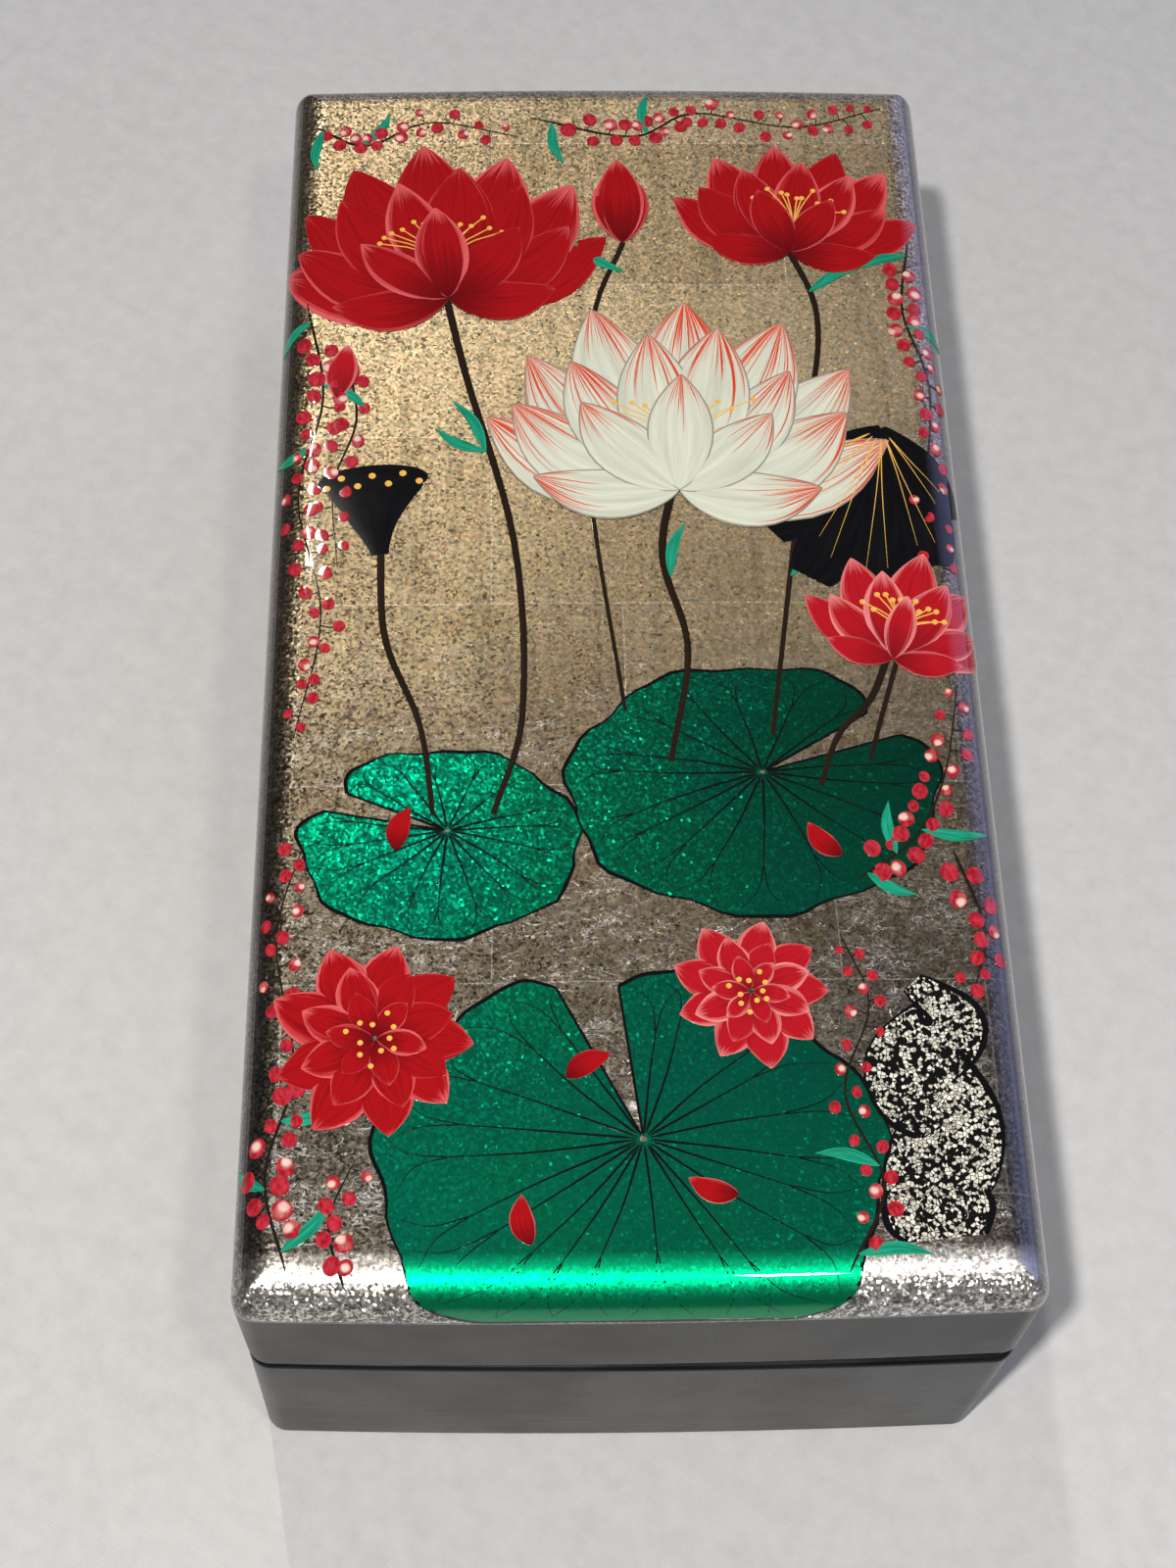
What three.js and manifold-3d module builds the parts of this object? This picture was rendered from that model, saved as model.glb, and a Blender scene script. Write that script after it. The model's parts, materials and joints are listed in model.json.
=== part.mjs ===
// Lacquered wooden jewelry box with a leafed lid, hinged along its left long side.
// Millimetres, +Z up, origin at the middle of the underside, X across, Y along, front at -Y.

import * as THREE from 'three';
import { mergeVertices } from 'three/addons/utils/BufferGeometryUtils.js';
import Module from 'manifold-3d';

const wasm = await Module();
wasm.setup();

// Outside sizes
const boxWidth = 100;
const boxLength = 201; // between the corners of the two short ends
const endBow = 0.8; // each short end swells this far past its corners
const cornerRadius = 3;
const baseHeight = 34.4;
const seamGap = 0.4; // between the halves with the lid quite flat
const rimHeight = 19.4;
const topBoardThickness = 5.8;
const topEdgeRadius = 5.5;
const lidSeamEdgeRadius = 1.5;
const baseSeamEdgeRadius = 0.9;
const footEdgeRadius = 1.5;
const lidAjar = 1.3; // degrees that the shut lid stays open, where the screw heads meet

// Boards
const wallThickness = 8;
const bottomThickness = 5;
const dividerThickness = 5;
const backCompartmentLength = 62;
const glueLine = 0.05; // between boards that are glued together

// Lining, pads and mirror
const liningThickness = 1.2;
const liningBelowSeam = 2;
const padThickness = 4;
const padEdgeRadius = 1.6;
const lidLinerThickness = 1.5;
const mirrorThickness = 2.5;
const mirrorMargin = 6; // bare liner round the mirror
const mirrorBevelWidth = 4;
const mirrorBevelDepth = 0.8;
const fitGap = 0.3; // round pieces that drop into a recess

// Hinges
const hingeFromEnd = 42; // end of the box to the middle of a hinge
const hingeLength = 24;
const endKnuckleLength = 6.5;
const barrelRadius = 1.7;
const pinRadius = 0.7;
const pinHeadRadius = 1.2;
const pinHeadThickness = 0.5;
const axisInset = 1; // outside of the wall to the pin's centre
const leafWidth = 5.8; // from the pin's centre
const leafThickness = 0.8;
const stopChamferAngle = 52; // each half's chamfer from the seam; the lid stops at twice this
const screwSpacing = 14;
const screwFromAxis = 3.7;
const screwHeadRadius = 1.3;
const screwHeadDepth = 0.6;
const screwHeadStandOff = 0.2; // each head stands this far out of its leaf
const screwShankRadius = 0.7;
const screwLength = 6;
const screwSlotWidth = 0.35;
const screwSlotDepth = 0.25;

// Steps on round stretches
const cornerSteps = 8;
const bowSteps = 12;
const edgeSteps = 6;
const topEdgeSteps = 12;
const roundSides = 20;

// Places that follow from the sizes
const innerHalfWidth = boxWidth / 2 - wallThickness;
const innerHalfLength = boxLength / 2 - wallThickness;
const rimBottom = baseHeight + seamGap;
const rimTop = rimBottom + rimHeight;
const topBoardBottom = rimTop + glueLine;
const boxTop = topBoardBottom + topBoardThickness;
const axisX = -boxWidth / 2 + axisInset;
const axisZ = baseHeight + seamGap / 2;
const screwX = axisX + screwFromAxis;
const linedHalfWidth = innerHalfWidth - liningThickness;
const linedHalfLength = innerHalfLength - liningThickness;
const liningTop = baseHeight - liningBelowSeam;
const dividerBackFace = linedHalfLength - backCompartmentLength;
const dividerFrontFace = dividerBackFace - dividerThickness;
const beyond = boxLength; // reaches past every piece, for cutting blocks

const finishes = {
  blackLacquer: new THREE.MeshStandardMaterial({ color: 0x1b1b1e, roughness: 0.28, metalness: 0 }),
  leafedLacquer: new THREE.MeshStandardMaterial({ color: 0xa8926a, roughness: 0.35, metalness: 0.9 }),
  redVelvet: new THREE.MeshStandardMaterial({ color: 0x7a1018, roughness: 0.95, metalness: 0 }),
  mirrorGlass: new THREE.MeshStandardMaterial({ color: 0xdfe6e8, roughness: 0.03, metalness: 1 }),
  brass: new THREE.MeshStandardMaterial({ color: 0xb8924a, roughness: 0.35, metalness: 1 }),
};

// Closed solids and their joins and cuts

function toSolid(geometry) {
  const bare = geometry.clone();
  bare.deleteAttribute('normal');
  bare.deleteAttribute('uv');
  const merged = mergeVertices(bare);
  return new wasm.Manifold(
    new wasm.Mesh({
      numProp: 3,
      vertProperties: new Float32Array(merged.attributes.position.array),
      triVerts: new Uint32Array(merged.index.array),
    }),
  );
}

function toGeometry(solid) {
  const mesh = solid.getMesh();
  const geometry = new THREE.BufferGeometry();
  geometry.setAttribute('position', new THREE.BufferAttribute(mesh.vertProperties, 3));
  geometry.setIndex(new THREE.BufferAttribute(mesh.triVerts, 1));
  geometry.computeVertexNormals();
  return geometry;
}

function block(lowX, highX, lowY, highY, lowZ, highZ) {
  const geometry = new THREE.BoxGeometry(highX - lowX, highY - lowY, highZ - lowZ);
  geometry.translate((lowX + highX) / 2, (lowY + highY) / 2, (lowZ + highZ) / 2);
  return toSolid(geometry);
}

function rodAlongY(radius, lowY, highY, x, z) {
  const geometry = new THREE.CylinderGeometry(radius, radius, highY - lowY, roundSides);
  geometry.translate(x, (lowY + highY) / 2, z);
  return toSolid(geometry);
}

// Stacks outlines of equal point count, each at its own height, into one closed solid.
function loft(outlineAt, profile) {
  const rings = profile.map(([inset, z]) => outlineAt(inset).map(([x, y]) => [x, y, z]));
  const count = rings[0].length;
  const positions = rings.flat(2);
  const triangles = [];
  for (let ring = 0; ring + 1 < rings.length; ring += 1) {
    for (let point = 0; point < count; point += 1) {
      const next = (point + 1) % count;
      const low = ring * count;
      const high = low + count;
      triangles.push(low + point, low + next, high + next);
      triangles.push(low + point, high + next, high + point);
    }
  }
  const lastRing = (rings.length - 1) * count;
  for (const ring of [rings[0], rings.at(-1)]) {
    const middle = [0, 1, 2].map((axis) => ring.reduce((sum, point) => sum + point[axis], 0) / count);
    positions.push(...middle);
  }
  const lowMiddle = rings.length * count;
  for (let point = 0; point < count; point += 1) {
    const next = (point + 1) % count;
    triangles.push(lowMiddle, next, point);
    triangles.push(lowMiddle + 1, lastRing + point, lastRing + next);
  }
  const geometry = new THREE.BufferGeometry();
  geometry.setAttribute('position', new THREE.Float32BufferAttribute(positions, 3));
  geometry.setIndex(triangles);
  return toSolid(geometry);
}

// Outlines

// The box seen from above: straight long sides, softly bowed ends, small round corners.
function boxOutline(inset) {
  const radius = Math.max(cornerRadius - inset, 0.3);
  const flatHalfWidth = boxWidth / 2 - inset - radius;
  const flatHalfLength = boxLength / 2 - inset - radius;
  const quarter = [];
  for (let step = 0; step <= cornerSteps; step += 1) {
    const angle = (step / cornerSteps) * (Math.PI / 2);
    quarter.push([flatHalfWidth + radius * Math.cos(angle), flatHalfLength + radius * Math.sin(angle)]);
  }
  const end = [];
  for (let step = 1; step < bowSteps; step += 1) {
    const across = 1 - (2 * step) / bowSteps;
    end.push([flatHalfWidth * across, flatHalfLength + radius + endBow * (1 - across * across)]);
  }
  const backHalf = [...quarter, ...end, ...quarter.map(([x, y]) => [-x, y]).reverse()];
  return [...backHalf, ...backHalf.map(([x, y]) => [-x, -y])];
}

function rectangleOutline(lowX, highX, lowY, highY) {
  return (inset) => [
    [highX - inset, lowY + inset],
    [highX - inset, highY - inset],
    [lowX + inset, highY - inset],
    [lowX + inset, lowY + inset],
  ];
}

// Points of a rounded edge as inset and height, from the face below up to the face above.
function roundedOver(topZ, radius, steps = edgeSteps) {
  return quarterRound(radius, steps).map(([inset, drop]) => [inset, topZ - drop]);
}

function roundedUnder(bottomZ, radius, steps = edgeSteps) {
  return quarterRound(radius, steps)
    .map(([inset, rise]) => [inset, bottomZ + rise])
    .reverse();
}

function quarterRound(radius, steps) {
  return Array.from({ length: steps + 1 }, (_, step) => {
    const angle = (step / steps) * (Math.PI / 2);
    return [radius * (1 - Math.cos(angle)), radius * (1 - Math.sin(angle))];
  });
}

// Everything outside the chamfer that lets the lid lean back, on the side given by up.
function hingeChamfer(up) {
  const reach = 2 * wallThickness;
  const rise = reach * Math.tan(THREE.MathUtils.degToRad(stopChamferAngle)) * up;
  const corner = new THREE.Shape();
  corner.moveTo(0, 0);
  corner.lineTo(-reach, rise);
  corner.lineTo(-reach, 0);
  corner.closePath();
  const geometry = new THREE.ExtrudeGeometry(corner, { depth: 2 * beyond, bevelEnabled: false });
  geometry.rotateX(Math.PI / 2);
  geometry.translate(axisX, beyond, axisZ);
  return toSolid(geometry);
}

// Cuts one block into two end boards and the two side boards between them.
function fourBoards(whole, lowZ, highZ) {
  const across = (lowY, highY) => whole.intersect(block(-beyond, beyond, lowY, highY, lowZ, highZ));
  const sideReach = innerHalfLength - glueLine;
  const along = (lowX, highX) => whole.intersect(block(lowX, highX, -sideReach, sideReach, lowZ, highZ));
  return {
    front: across(-beyond, -innerHalfLength),
    back: across(innerHalfLength, beyond),
    left: along(-beyond, -innerHalfWidth),
    right: along(innerHalfWidth, beyond),
  };
}

// Hinges

const hingeMiddle = boxLength / 2 - hingeFromEnd;
const hinges = [
  { name: 'front', y: -hingeMiddle },
  { name: 'back', y: hingeMiddle },
];
const halfHinge = hingeLength / 2;
const halfMiddleKnuckle = halfHinge - endKnuckleLength - fitGap;
const recessRadius = barrelRadius + fitGap;
const pinReach = halfHinge + fitGap + pinHeadThickness;

// Side 1 is the lid's half, above the seam; side -1 is the base's half.
function seamFace(side) {
  return axisZ + (side * seamGap) / 2;
}

function leafPlate(y, side, clearance) {
  const face = seamFace(side);
  const far = face + side * (leafThickness + clearance);
  return block(
    axisX,
    axisX + leafWidth + clearance,
    y - halfHinge - clearance,
    y + halfHinge + clearance,
    Math.min(face, far),
    Math.max(face, far),
  );
}

// Turned profile of a screw that points away from the seam, grown by the clearance.
function screwBody(y, side, clearance) {
  const head = screwHeadRadius + clearance;
  const shank = screwShankRadius + clearance;
  const profile = [
    [0, screwLength + clearance],
    [shank, screwLength - screwShankRadius],
    [shank, screwHeadDepth],
    [head, 0],
    [head, -screwHeadStandOff],
    [0, -screwHeadStandOff],
  ].map(([radius, depth]) => new THREE.Vector2(radius, -depth));
  const geometry = new THREE.LatheGeometry(profile, roundSides);
  geometry.rotateX(side > 0 ? -Math.PI / 2 : Math.PI / 2);
  geometry.translate(screwX, y, seamFace(side));
  return toSolid(geometry);
}

function screwPlaces(y) {
  return [y - screwSpacing / 2, y + screwSpacing / 2];
}

function hingeScrew(y, side) {
  const face = seamFace(side);
  const slotFloor = face + side * (screwSlotDepth - screwHeadStandOff);
  const slot = block(
    screwX - screwHeadRadius * 2,
    screwX + screwHeadRadius * 2,
    y - screwSlotWidth / 2,
    y + screwSlotWidth / 2,
    Math.min(face - side, slotFloor),
    Math.max(face - side, slotFloor),
  );
  return screwBody(y, side, 0).subtract(slot);
}

function hingeLeaf(y, side) {
  const knuckles =
    side > 0
      ? [[y - halfMiddleKnuckle, y + halfMiddleKnuckle]]
      : [
          [y - halfHinge, y - halfHinge + endKnuckleLength],
          [y + halfHinge - endKnuckleLength, y + halfHinge],
        ];
  const openings =
    side > 0
      ? [
          [y - halfHinge - 1, y - halfMiddleKnuckle],
          [y + halfMiddleKnuckle, y + halfHinge + 1],
        ]
      : [[y - halfHinge + endKnuckleLength, y + halfHinge - endKnuckleLength]];
  let leaf = leafPlate(y, side, 0);
  for (const [lowY, highY] of knuckles) {
    leaf = leaf.add(rodAlongY(barrelRadius, lowY, highY, axisX, axisZ));
  }
  for (const [lowY, highY] of openings) {
    leaf = leaf.subtract(rodAlongY(recessRadius, lowY, highY, axisX, axisZ));
  }
  leaf = leaf.subtract(rodAlongY(pinRadius + fitGap, y - halfHinge - 1, y + halfHinge + 1, axisX, axisZ));
  for (const screwY of screwPlaces(y)) {
    leaf = leaf.subtract(screwBody(screwY, side, fitGap));
  }
  return leaf;
}

function hingePin(y) {
  const profile = [
    [0, -pinReach],
    [pinHeadRadius, -pinReach],
    [pinHeadRadius, -pinReach + pinHeadThickness],
    [pinRadius, -pinReach + pinHeadThickness],
    [pinRadius, pinReach - pinHeadThickness],
    [pinHeadRadius, pinReach - pinHeadThickness],
    [pinHeadRadius, pinReach],
    [0, pinReach],
  ];
  const geometry = new THREE.LatheGeometry(
    profile.map(([radius, height]) => new THREE.Vector2(radius, height)),
    roundSides,
  );
  geometry.translate(axisX, y, axisZ);
  return toSolid(geometry);
}

// Takes the barrel recess, the leaf mortise and the screw holes out of a hinge-side board.
function mortised(board, side) {
  let cut = board;
  for (const { y } of hinges) {
    const reach = pinReach + fitGap;
    cut = cut.subtract(rodAlongY(recessRadius, y - reach, y + reach, axisX, axisZ));
    cut = cut.subtract(leafPlate(y, side, fitGap));
    for (const screwY of screwPlaces(y)) {
      cut = cut.subtract(screwBody(screwY, side, fitGap));
    }
  }
  return cut;
}

// The base

function makeBaseBoards() {
  const profile = [...roundedUnder(0, footEdgeRadius), ...roundedOver(baseHeight, baseSeamEdgeRadius)];
  const whole = loft(boxOutline, profile).subtract(hingeChamfer(-1));
  const boards = fourBoards(whole, -1, baseHeight + 1);
  boards.left = mortised(boards.left, -1);
  return boards;
}

function makeBottomBoard() {
  const halfWidth = innerHalfWidth - glueLine;
  const halfLength = innerHalfLength - glueLine;
  return block(-halfWidth, halfWidth, -halfLength, halfLength, 0, bottomThickness);
}

function makeLinings() {
  const side = (lowX, highX) =>
    block(lowX, highX, -innerHalfLength, innerHalfLength, bottomThickness, liningTop);
  const end = (lowY, highY) =>
    block(-linedHalfWidth, linedHalfWidth, lowY, highY, bottomThickness, liningTop);
  return {
    left: side(-innerHalfWidth, -linedHalfWidth),
    right: side(linedHalfWidth, innerHalfWidth),
    front: end(-innerHalfLength, -linedHalfLength),
    back: end(linedHalfLength, innerHalfLength),
  };
}

function makeDivider() {
  const [front, back] = [dividerFrontFace, dividerBackFace];
  return block(-linedHalfWidth, linedHalfWidth, front, back, bottomThickness, liningTop);
}

function makePad(lowY, highY) {
  const outline = rectangleOutline(
    -linedHalfWidth + fitGap,
    linedHalfWidth - fitGap,
    lowY + fitGap,
    highY - fitGap,
  );
  const padTop = bottomThickness + padThickness;
  return loft(outline, [[0, bottomThickness], ...roundedOver(padTop, padEdgeRadius)]);
}

// The lid

function makeLidRims() {
  const profile = [...roundedUnder(rimBottom, lidSeamEdgeRadius), [0, rimTop]];
  const whole = loft(boxOutline, profile).subtract(hingeChamfer(1));
  const boards = fourBoards(whole, rimBottom - 1, rimTop + 1);
  boards.left = mortised(boards.left, 1);
  return boards;
}

function makeTopBoard() {
  return loft(boxOutline, [[0, topBoardBottom], ...roundedOver(boxTop, topEdgeRadius, topEdgeSteps)]);
}

const linerHalfWidth = innerHalfWidth - fitGap;
const linerHalfLength = innerHalfLength - fitGap;
const linerBottom = rimTop - lidLinerThickness;
const mirrorBack = linerBottom - glueLine;

function makeLidLiner() {
  return block(-linerHalfWidth, linerHalfWidth, -linerHalfLength, linerHalfLength, linerBottom, rimTop);
}

function makeMirror() {
  const halfWidth = linerHalfWidth - mirrorMargin;
  const halfLength = linerHalfLength - mirrorMargin;
  const face = mirrorBack - mirrorThickness;
  return loft(rectangleOutline(-halfWidth, halfWidth, -halfLength, halfLength), [
    [mirrorBevelWidth, face],
    [0, face + mirrorBevelDepth],
    [0, mirrorBack],
  ]);
}

// Assembly: the lid's pieces turn together about the pins

const jewelryBox = new THREE.Group();
const lid = new THREE.Group();
const lidTurn = new THREE.Group();
lidTurn.position.set(axisX, 0, axisZ);
lidTurn.rotation.y = THREE.MathUtils.degToRad(-lidAjar);
lid.position.set(-axisX, 0, -axisZ);
lidTurn.add(lid);
jewelryBox.add(lidTurn);

function place(name, solid, finish, group = jewelryBox) {
  const mesh = new THREE.Mesh(toGeometry(solid), finish);
  mesh.name = name;
  group.add(mesh);
}

for (const [side, board] of Object.entries(makeBaseBoards())) {
  place(`base_${side}_board`, board, finishes.blackLacquer);
}
place('base_bottom_board', makeBottomBoard(), finishes.blackLacquer);
for (const [side, board] of Object.entries(makeLidRims())) {
  place(`lid_${side}_rim`, board, finishes.blackLacquer, lid);
}
place('lid_top_board', makeTopBoard(), finishes.leafedLacquer, lid);
place('lid_liner', makeLidLiner(), finishes.redVelvet, lid);
place('lid_mirror', makeMirror(), finishes.mirrorGlass, lid);

for (const [side, lining] of Object.entries(makeLinings())) {
  place(`lining_${side}`, lining, finishes.redVelvet);
}
place('compartment_divider', makeDivider(), finishes.redVelvet);
place('front_compartment_pad', makePad(-linedHalfLength, dividerFrontFace), finishes.redVelvet);
place('back_compartment_pad', makePad(dividerBackFace, linedHalfLength), finishes.redVelvet);

for (const { name, y } of hinges) {
  place(`${name}_hinge_base_leaf`, hingeLeaf(y, -1), finishes.brass);
  place(`${name}_hinge_lid_leaf`, hingeLeaf(y, 1), finishes.brass, lid);
  place(`${name}_hinge_pin`, hingePin(y), finishes.brass);
  screwPlaces(y).forEach((screwY, index) => {
    place(`${name}_hinge_base_screw_${index + 1}`, hingeScrew(screwY, -1), finishes.brass);
    place(`${name}_hinge_lid_screw_${index + 1}`, hingeScrew(screwY, 1), finishes.brass, lid);
  });
}

export default jewelryBox;
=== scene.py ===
"""Looks of a lacquered jewelry box with a leafed and painted lid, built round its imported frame."""
import json
import math
import random

import bpy
from mathutils import Matrix, Vector


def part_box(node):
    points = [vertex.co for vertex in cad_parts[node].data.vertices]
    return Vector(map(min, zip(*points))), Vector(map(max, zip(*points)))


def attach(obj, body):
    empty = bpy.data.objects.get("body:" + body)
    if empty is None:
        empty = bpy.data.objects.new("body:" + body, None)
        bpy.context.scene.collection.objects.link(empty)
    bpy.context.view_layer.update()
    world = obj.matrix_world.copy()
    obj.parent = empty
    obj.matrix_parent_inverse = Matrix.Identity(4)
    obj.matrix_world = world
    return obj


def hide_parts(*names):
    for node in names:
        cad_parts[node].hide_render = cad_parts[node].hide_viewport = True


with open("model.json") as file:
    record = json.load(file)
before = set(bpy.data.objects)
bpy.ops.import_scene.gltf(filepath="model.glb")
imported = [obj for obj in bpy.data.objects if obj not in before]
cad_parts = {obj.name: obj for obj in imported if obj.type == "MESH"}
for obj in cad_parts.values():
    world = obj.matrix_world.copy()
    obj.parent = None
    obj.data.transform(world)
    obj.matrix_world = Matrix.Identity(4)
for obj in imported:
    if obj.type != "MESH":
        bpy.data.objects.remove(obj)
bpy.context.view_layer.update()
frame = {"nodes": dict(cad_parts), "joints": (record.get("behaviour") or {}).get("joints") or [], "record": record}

MM = 0.001
NODES = frame["nodes"]
HINGE = frame["joints"][0]
HINGE_PLACE = Vector(HINGE["pos_m"])
HINGE_AXIS = Vector(HINGE["axis"])

# The shut lid rests this far open, on its screw heads.
LID_AJAR = math.radians(1.3)
LID_TURN = (
    Matrix.Translation(HINGE_PLACE)
    @ Matrix.Rotation(LID_AJAR, 4, HINGE_AXIS)
    @ Matrix.Translation(-HINGE_PLACE)
)

# The lid's rounded top edge and bowed ends, as on the top board.
EDGE_RADIUS = 5.5
END_BOW = 0.8


def flat_lid_reach(node):
    """How far a lid node reaches along X, Y and Z in mm, with the lid turned back to lie quite flat."""
    turned_back = LID_TURN.inverted()
    places = [turned_back @ vertex.co / MM for vertex in NODES[node].data.vertices]
    return [max(place[axis] for place in places) for axis in range(3)]


HALF_WIDTH, END_REACH, LID_TOP = flat_lid_reach("lid_top_board")
HALF_LENGTH = END_REACH - END_BOW  # at the corners
FRONT_ROUND = EDGE_RADIUS - HALF_LENGTH  # where along the box the rounded front edge begins
EDGE_FOOT = LID_TOP - EDGE_RADIUS  # height of the rounding's foot


# Colour and nodes

ADDED = {"operation": "ADD"}
TIMES = {"operation": "MULTIPLY"}
TIMES_AND_ADDED = {"operation": "MULTIPLY_ADD"}
LARGER = {"operation": "MAXIMUM"}
SIZE_OF = {"operation": "ABSOLUTE"}
SUBTRACTED = {"operation": "SUBTRACT"}
SCALED = {"operation": "SCALE"}
MIXED = {"data_type": "RGBA"}
TINTED = {"data_type": "RGBA", "blend_type": "MULTIPLY"}


def linear(hex_colour):
    """An sRGB hex colour as linear RGBA."""
    channels = [int(hex_colour[at : at + 2], 16) / 255 for at in (1, 3, 5)]
    return (*[c / 12.92 if c <= 0.04045 else ((c + 0.055) / 1.055) ** 2.4 for c in channels], 1.0)


def add(tree, kind, settings=None, **sockets):
    """Adds a node with its settings and inputs. In an input's name an underscore stands for a space, and
    i with a number is the input at that place. A node given as an input links its first live output. The
    setting "stops" holds a colour ramp's places and hex colours."""
    node = tree.nodes.new("ShaderNode" + kind)
    settings = dict(settings or {})
    stops = settings.pop("stops", [])
    for name, value in settings.items():
        setattr(node, name, value)
    for _ in stops[2:]:
        node.color_ramp.elements.new(0.5)
    for number, (place, colour) in enumerate(stops):
        node.color_ramp.elements[number].position = place
        node.color_ramp.elements[number].color = linear(colour)
    for name, value in sockets.items():
        key = int(name[1:]) if name[0] == "i" and name[1:].isdigit() else name.replace("_", " ")
        if isinstance(value, bpy.types.Node):
            value = next(output for output in value.outputs if output.enabled)
        if isinstance(value, bpy.types.NodeSocket):
            tree.links.new(value, node.inputs[key])
        else:
            node.inputs[key].default_value = value
    return node


def new_material(name):
    material = bpy.data.materials.new(name)
    material.use_nodes = True
    material.node_tree.nodes.clear()
    return material, material.node_tree


# Leaf and lacquer

LEAF_GRAIN = 0.34  # mm across one facet of the crumpled leaf, drawn coarse so that it shows
BRUSHED_TILT = (0.26, 0.20, 0.20)  # facets tip most across the lid, because the leaf was brushed along it
EVEN_TILT = (0.09, 0.09, 0.09)  # and little but evenly under the emerald, where the leaf was burnished
STEEPEST = 2.2  # how many times as steep the steepest facets stand
EDGE_CRUMPLE = 4.5  # and how many times as steep they all stand low on the rounded front edge
EMERALD_CRUMPLE = 1.2  # the same where emerald lacquer fills the creases
CLUMP = 0.85  # mm across clumps of facets
SHEET_LENGTH = 45.0  # mm of a sheet of leaf, measured across the lid
SHEET_WIDTH = 29.0  # and along it
LACQUER_IOR = 1.5
CLEAR_COAT = dict(Coat_Weight=1.0, Coat_Roughness=0.025, Coat_IOR=LACQUER_IOR)


def level_on_lid(tree, place):
    """Height over the flat-lying lid's own plane: the ajar lid rises evenly from its hinge."""
    parts = add(tree, "SeparateXYZ", Vector=place).outputs
    rise = -math.tan(LID_AJAR)
    over_hinge = add(tree, "Math", TIMES_AND_ADDED, i0=parts["X"], i1=rise, i2=-HINGE_PLACE.x * rise)
    return add(tree, "Math", ADDED, i0=parts["Z"], i1=over_hinge)


def leaf_facets(tree, place, tilt, crumple):
    """Random numbers facet by facet, and the surface normal tipped at random with them. One facet in five
    stands steeper, and all of them do over the rounded front edge, where the leaf crumpled."""
    cells = add(tree, "TexVoronoi", Vector=place, Scale=1 / (LEAF_GRAIN * MM)).outputs
    centred = add(tree, "VectorMath", SUBTRACTED, i0=cells["Color"], i1=(0.5, 0.5, 0.5))
    tipped = add(tree, "VectorMath", TIMES, i0=centred, i1=tilt)
    luck = add(tree, "TexWhiteNoise", Vector=cells["Position"]).outputs["Value"]
    steepness = add(tree, "MapRange", Value=luck, From_Min=0.8, From_Max=1.0, To_Min=1.0, To_Max=STEEPEST)
    along = add(tree, "SeparateXYZ", Vector=place).outputs["Y"]
    on_edge = add(
        tree,
        "MapRange",
        Value=along,
        From_Min=(FRONT_ROUND - 2.0) * MM,
        From_Max=(FRONT_ROUND - 4.5) * MM,
        To_Min=1.0,
        To_Max=crumple,
    )
    steeper = add(tree, "Math", TIMES, i0=steepness, i1=on_edge)
    steep = add(tree, "VectorMath", SCALED, i0=tipped, Scale=steeper)
    turned = add(tree, "VectorTransform", {"convert_from": "OBJECT", "convert_to": "WORLD"}, Vector=steep)
    summed = add(tree, "VectorMath", ADDED, i0=add(tree, "NewGeometry").outputs["Normal"], i1=turned)
    normal = add(tree, "VectorMath", {"operation": "NORMALIZE"}, i0=summed)
    return add(tree, "SeparateColor", Color=cells["Color"]).outputs, normal


def hairlines(tree, place, turn, stretch, size, width, seed):
    """Fine creases: thin level lines of a stretched noise, let through in patches."""
    turned = add(
        tree,
        "Mapping",
        Vector=place,
        Location=(seed, seed, 0),
        Rotation=(0, 0, math.radians(turn)),
        Scale=(1 / (stretch * size * MM), 1 / (size * MM), 1 / (size * MM)),
    )
    folds = add(tree, "TexNoise", Vector=turned, Scale=1.0, Detail=4.0, Roughness=0.6, Distortion=0.9)
    off_level = add(tree, "Math", SUBTRACTED, i0=folds, i1=0.5)
    from_level = add(tree, "Math", SIZE_OF, i0=off_level)
    crease = add(tree, "MapRange", Value=from_level, From_Max=width / size, To_Min=1.0, To_Max=0.0)
    patches = add(tree, "TexNoise", Vector=turned, Scale=0.55, Detail=2.0)
    shown = add(tree, "MapRange", Value=patches, From_Min=0.46, From_Max=0.60)
    return add(tree, "Math", TIMES, i0=crease, i1=shown)


def worn_edges(tree, place, noise):
    """Where polishing has cut through the leaf to black: the four corners, specks low on the rounding, and
    a thin line along its foot."""
    parts = add(tree, "SeparateXYZ", Vector=place).outputs
    across = add(tree, "Math", SIZE_OF, i0=parts["X"])
    along = add(tree, "Math", SIZE_OF, i0=parts["Y"])
    out = add(tree, "Math", ADDED, i0=across, i1=along)
    ragged = add(tree, "Math", TIMES_AND_ADDED, i0=noise, i1=3.0 * MM, i2=out)
    corner = (HALF_WIDTH + HALF_LENGTH - 0.35) * MM
    at_corner = add(tree, "MapRange", Value=ragged, From_Min=corner, From_Max=corner + 0.25 * MM)
    level = level_on_lid(tree, place)
    edge = EDGE_FOOT * MM
    low = add(
        tree, "MapRange", Value=level, From_Min=edge, From_Max=edge + 2.4 * MM, To_Min=0.45, To_Max=0.32
    )
    speck = add(tree, "Math", {"operation": "LESS_THAN"}, i0=noise, i1=low)
    in_edge = add(tree, "MapRange", Value=level, From_Min=edge + 2.4 * MM, From_Max=edge + 1.2 * MM)
    specks = add(tree, "Math", TIMES, i0=speck, i1=in_edge)
    foot = add(tree, "MapRange", Value=level, From_Min=edge + 0.5 * MM, From_Max=edge + 0.25 * MM, To_Max=0.8)
    low_or_foot = add(tree, "Math", LARGER, i0=specks, i1=foot)
    return add(tree, "Math", LARGER, i0=at_corner, i1=low_or_foot)


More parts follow.
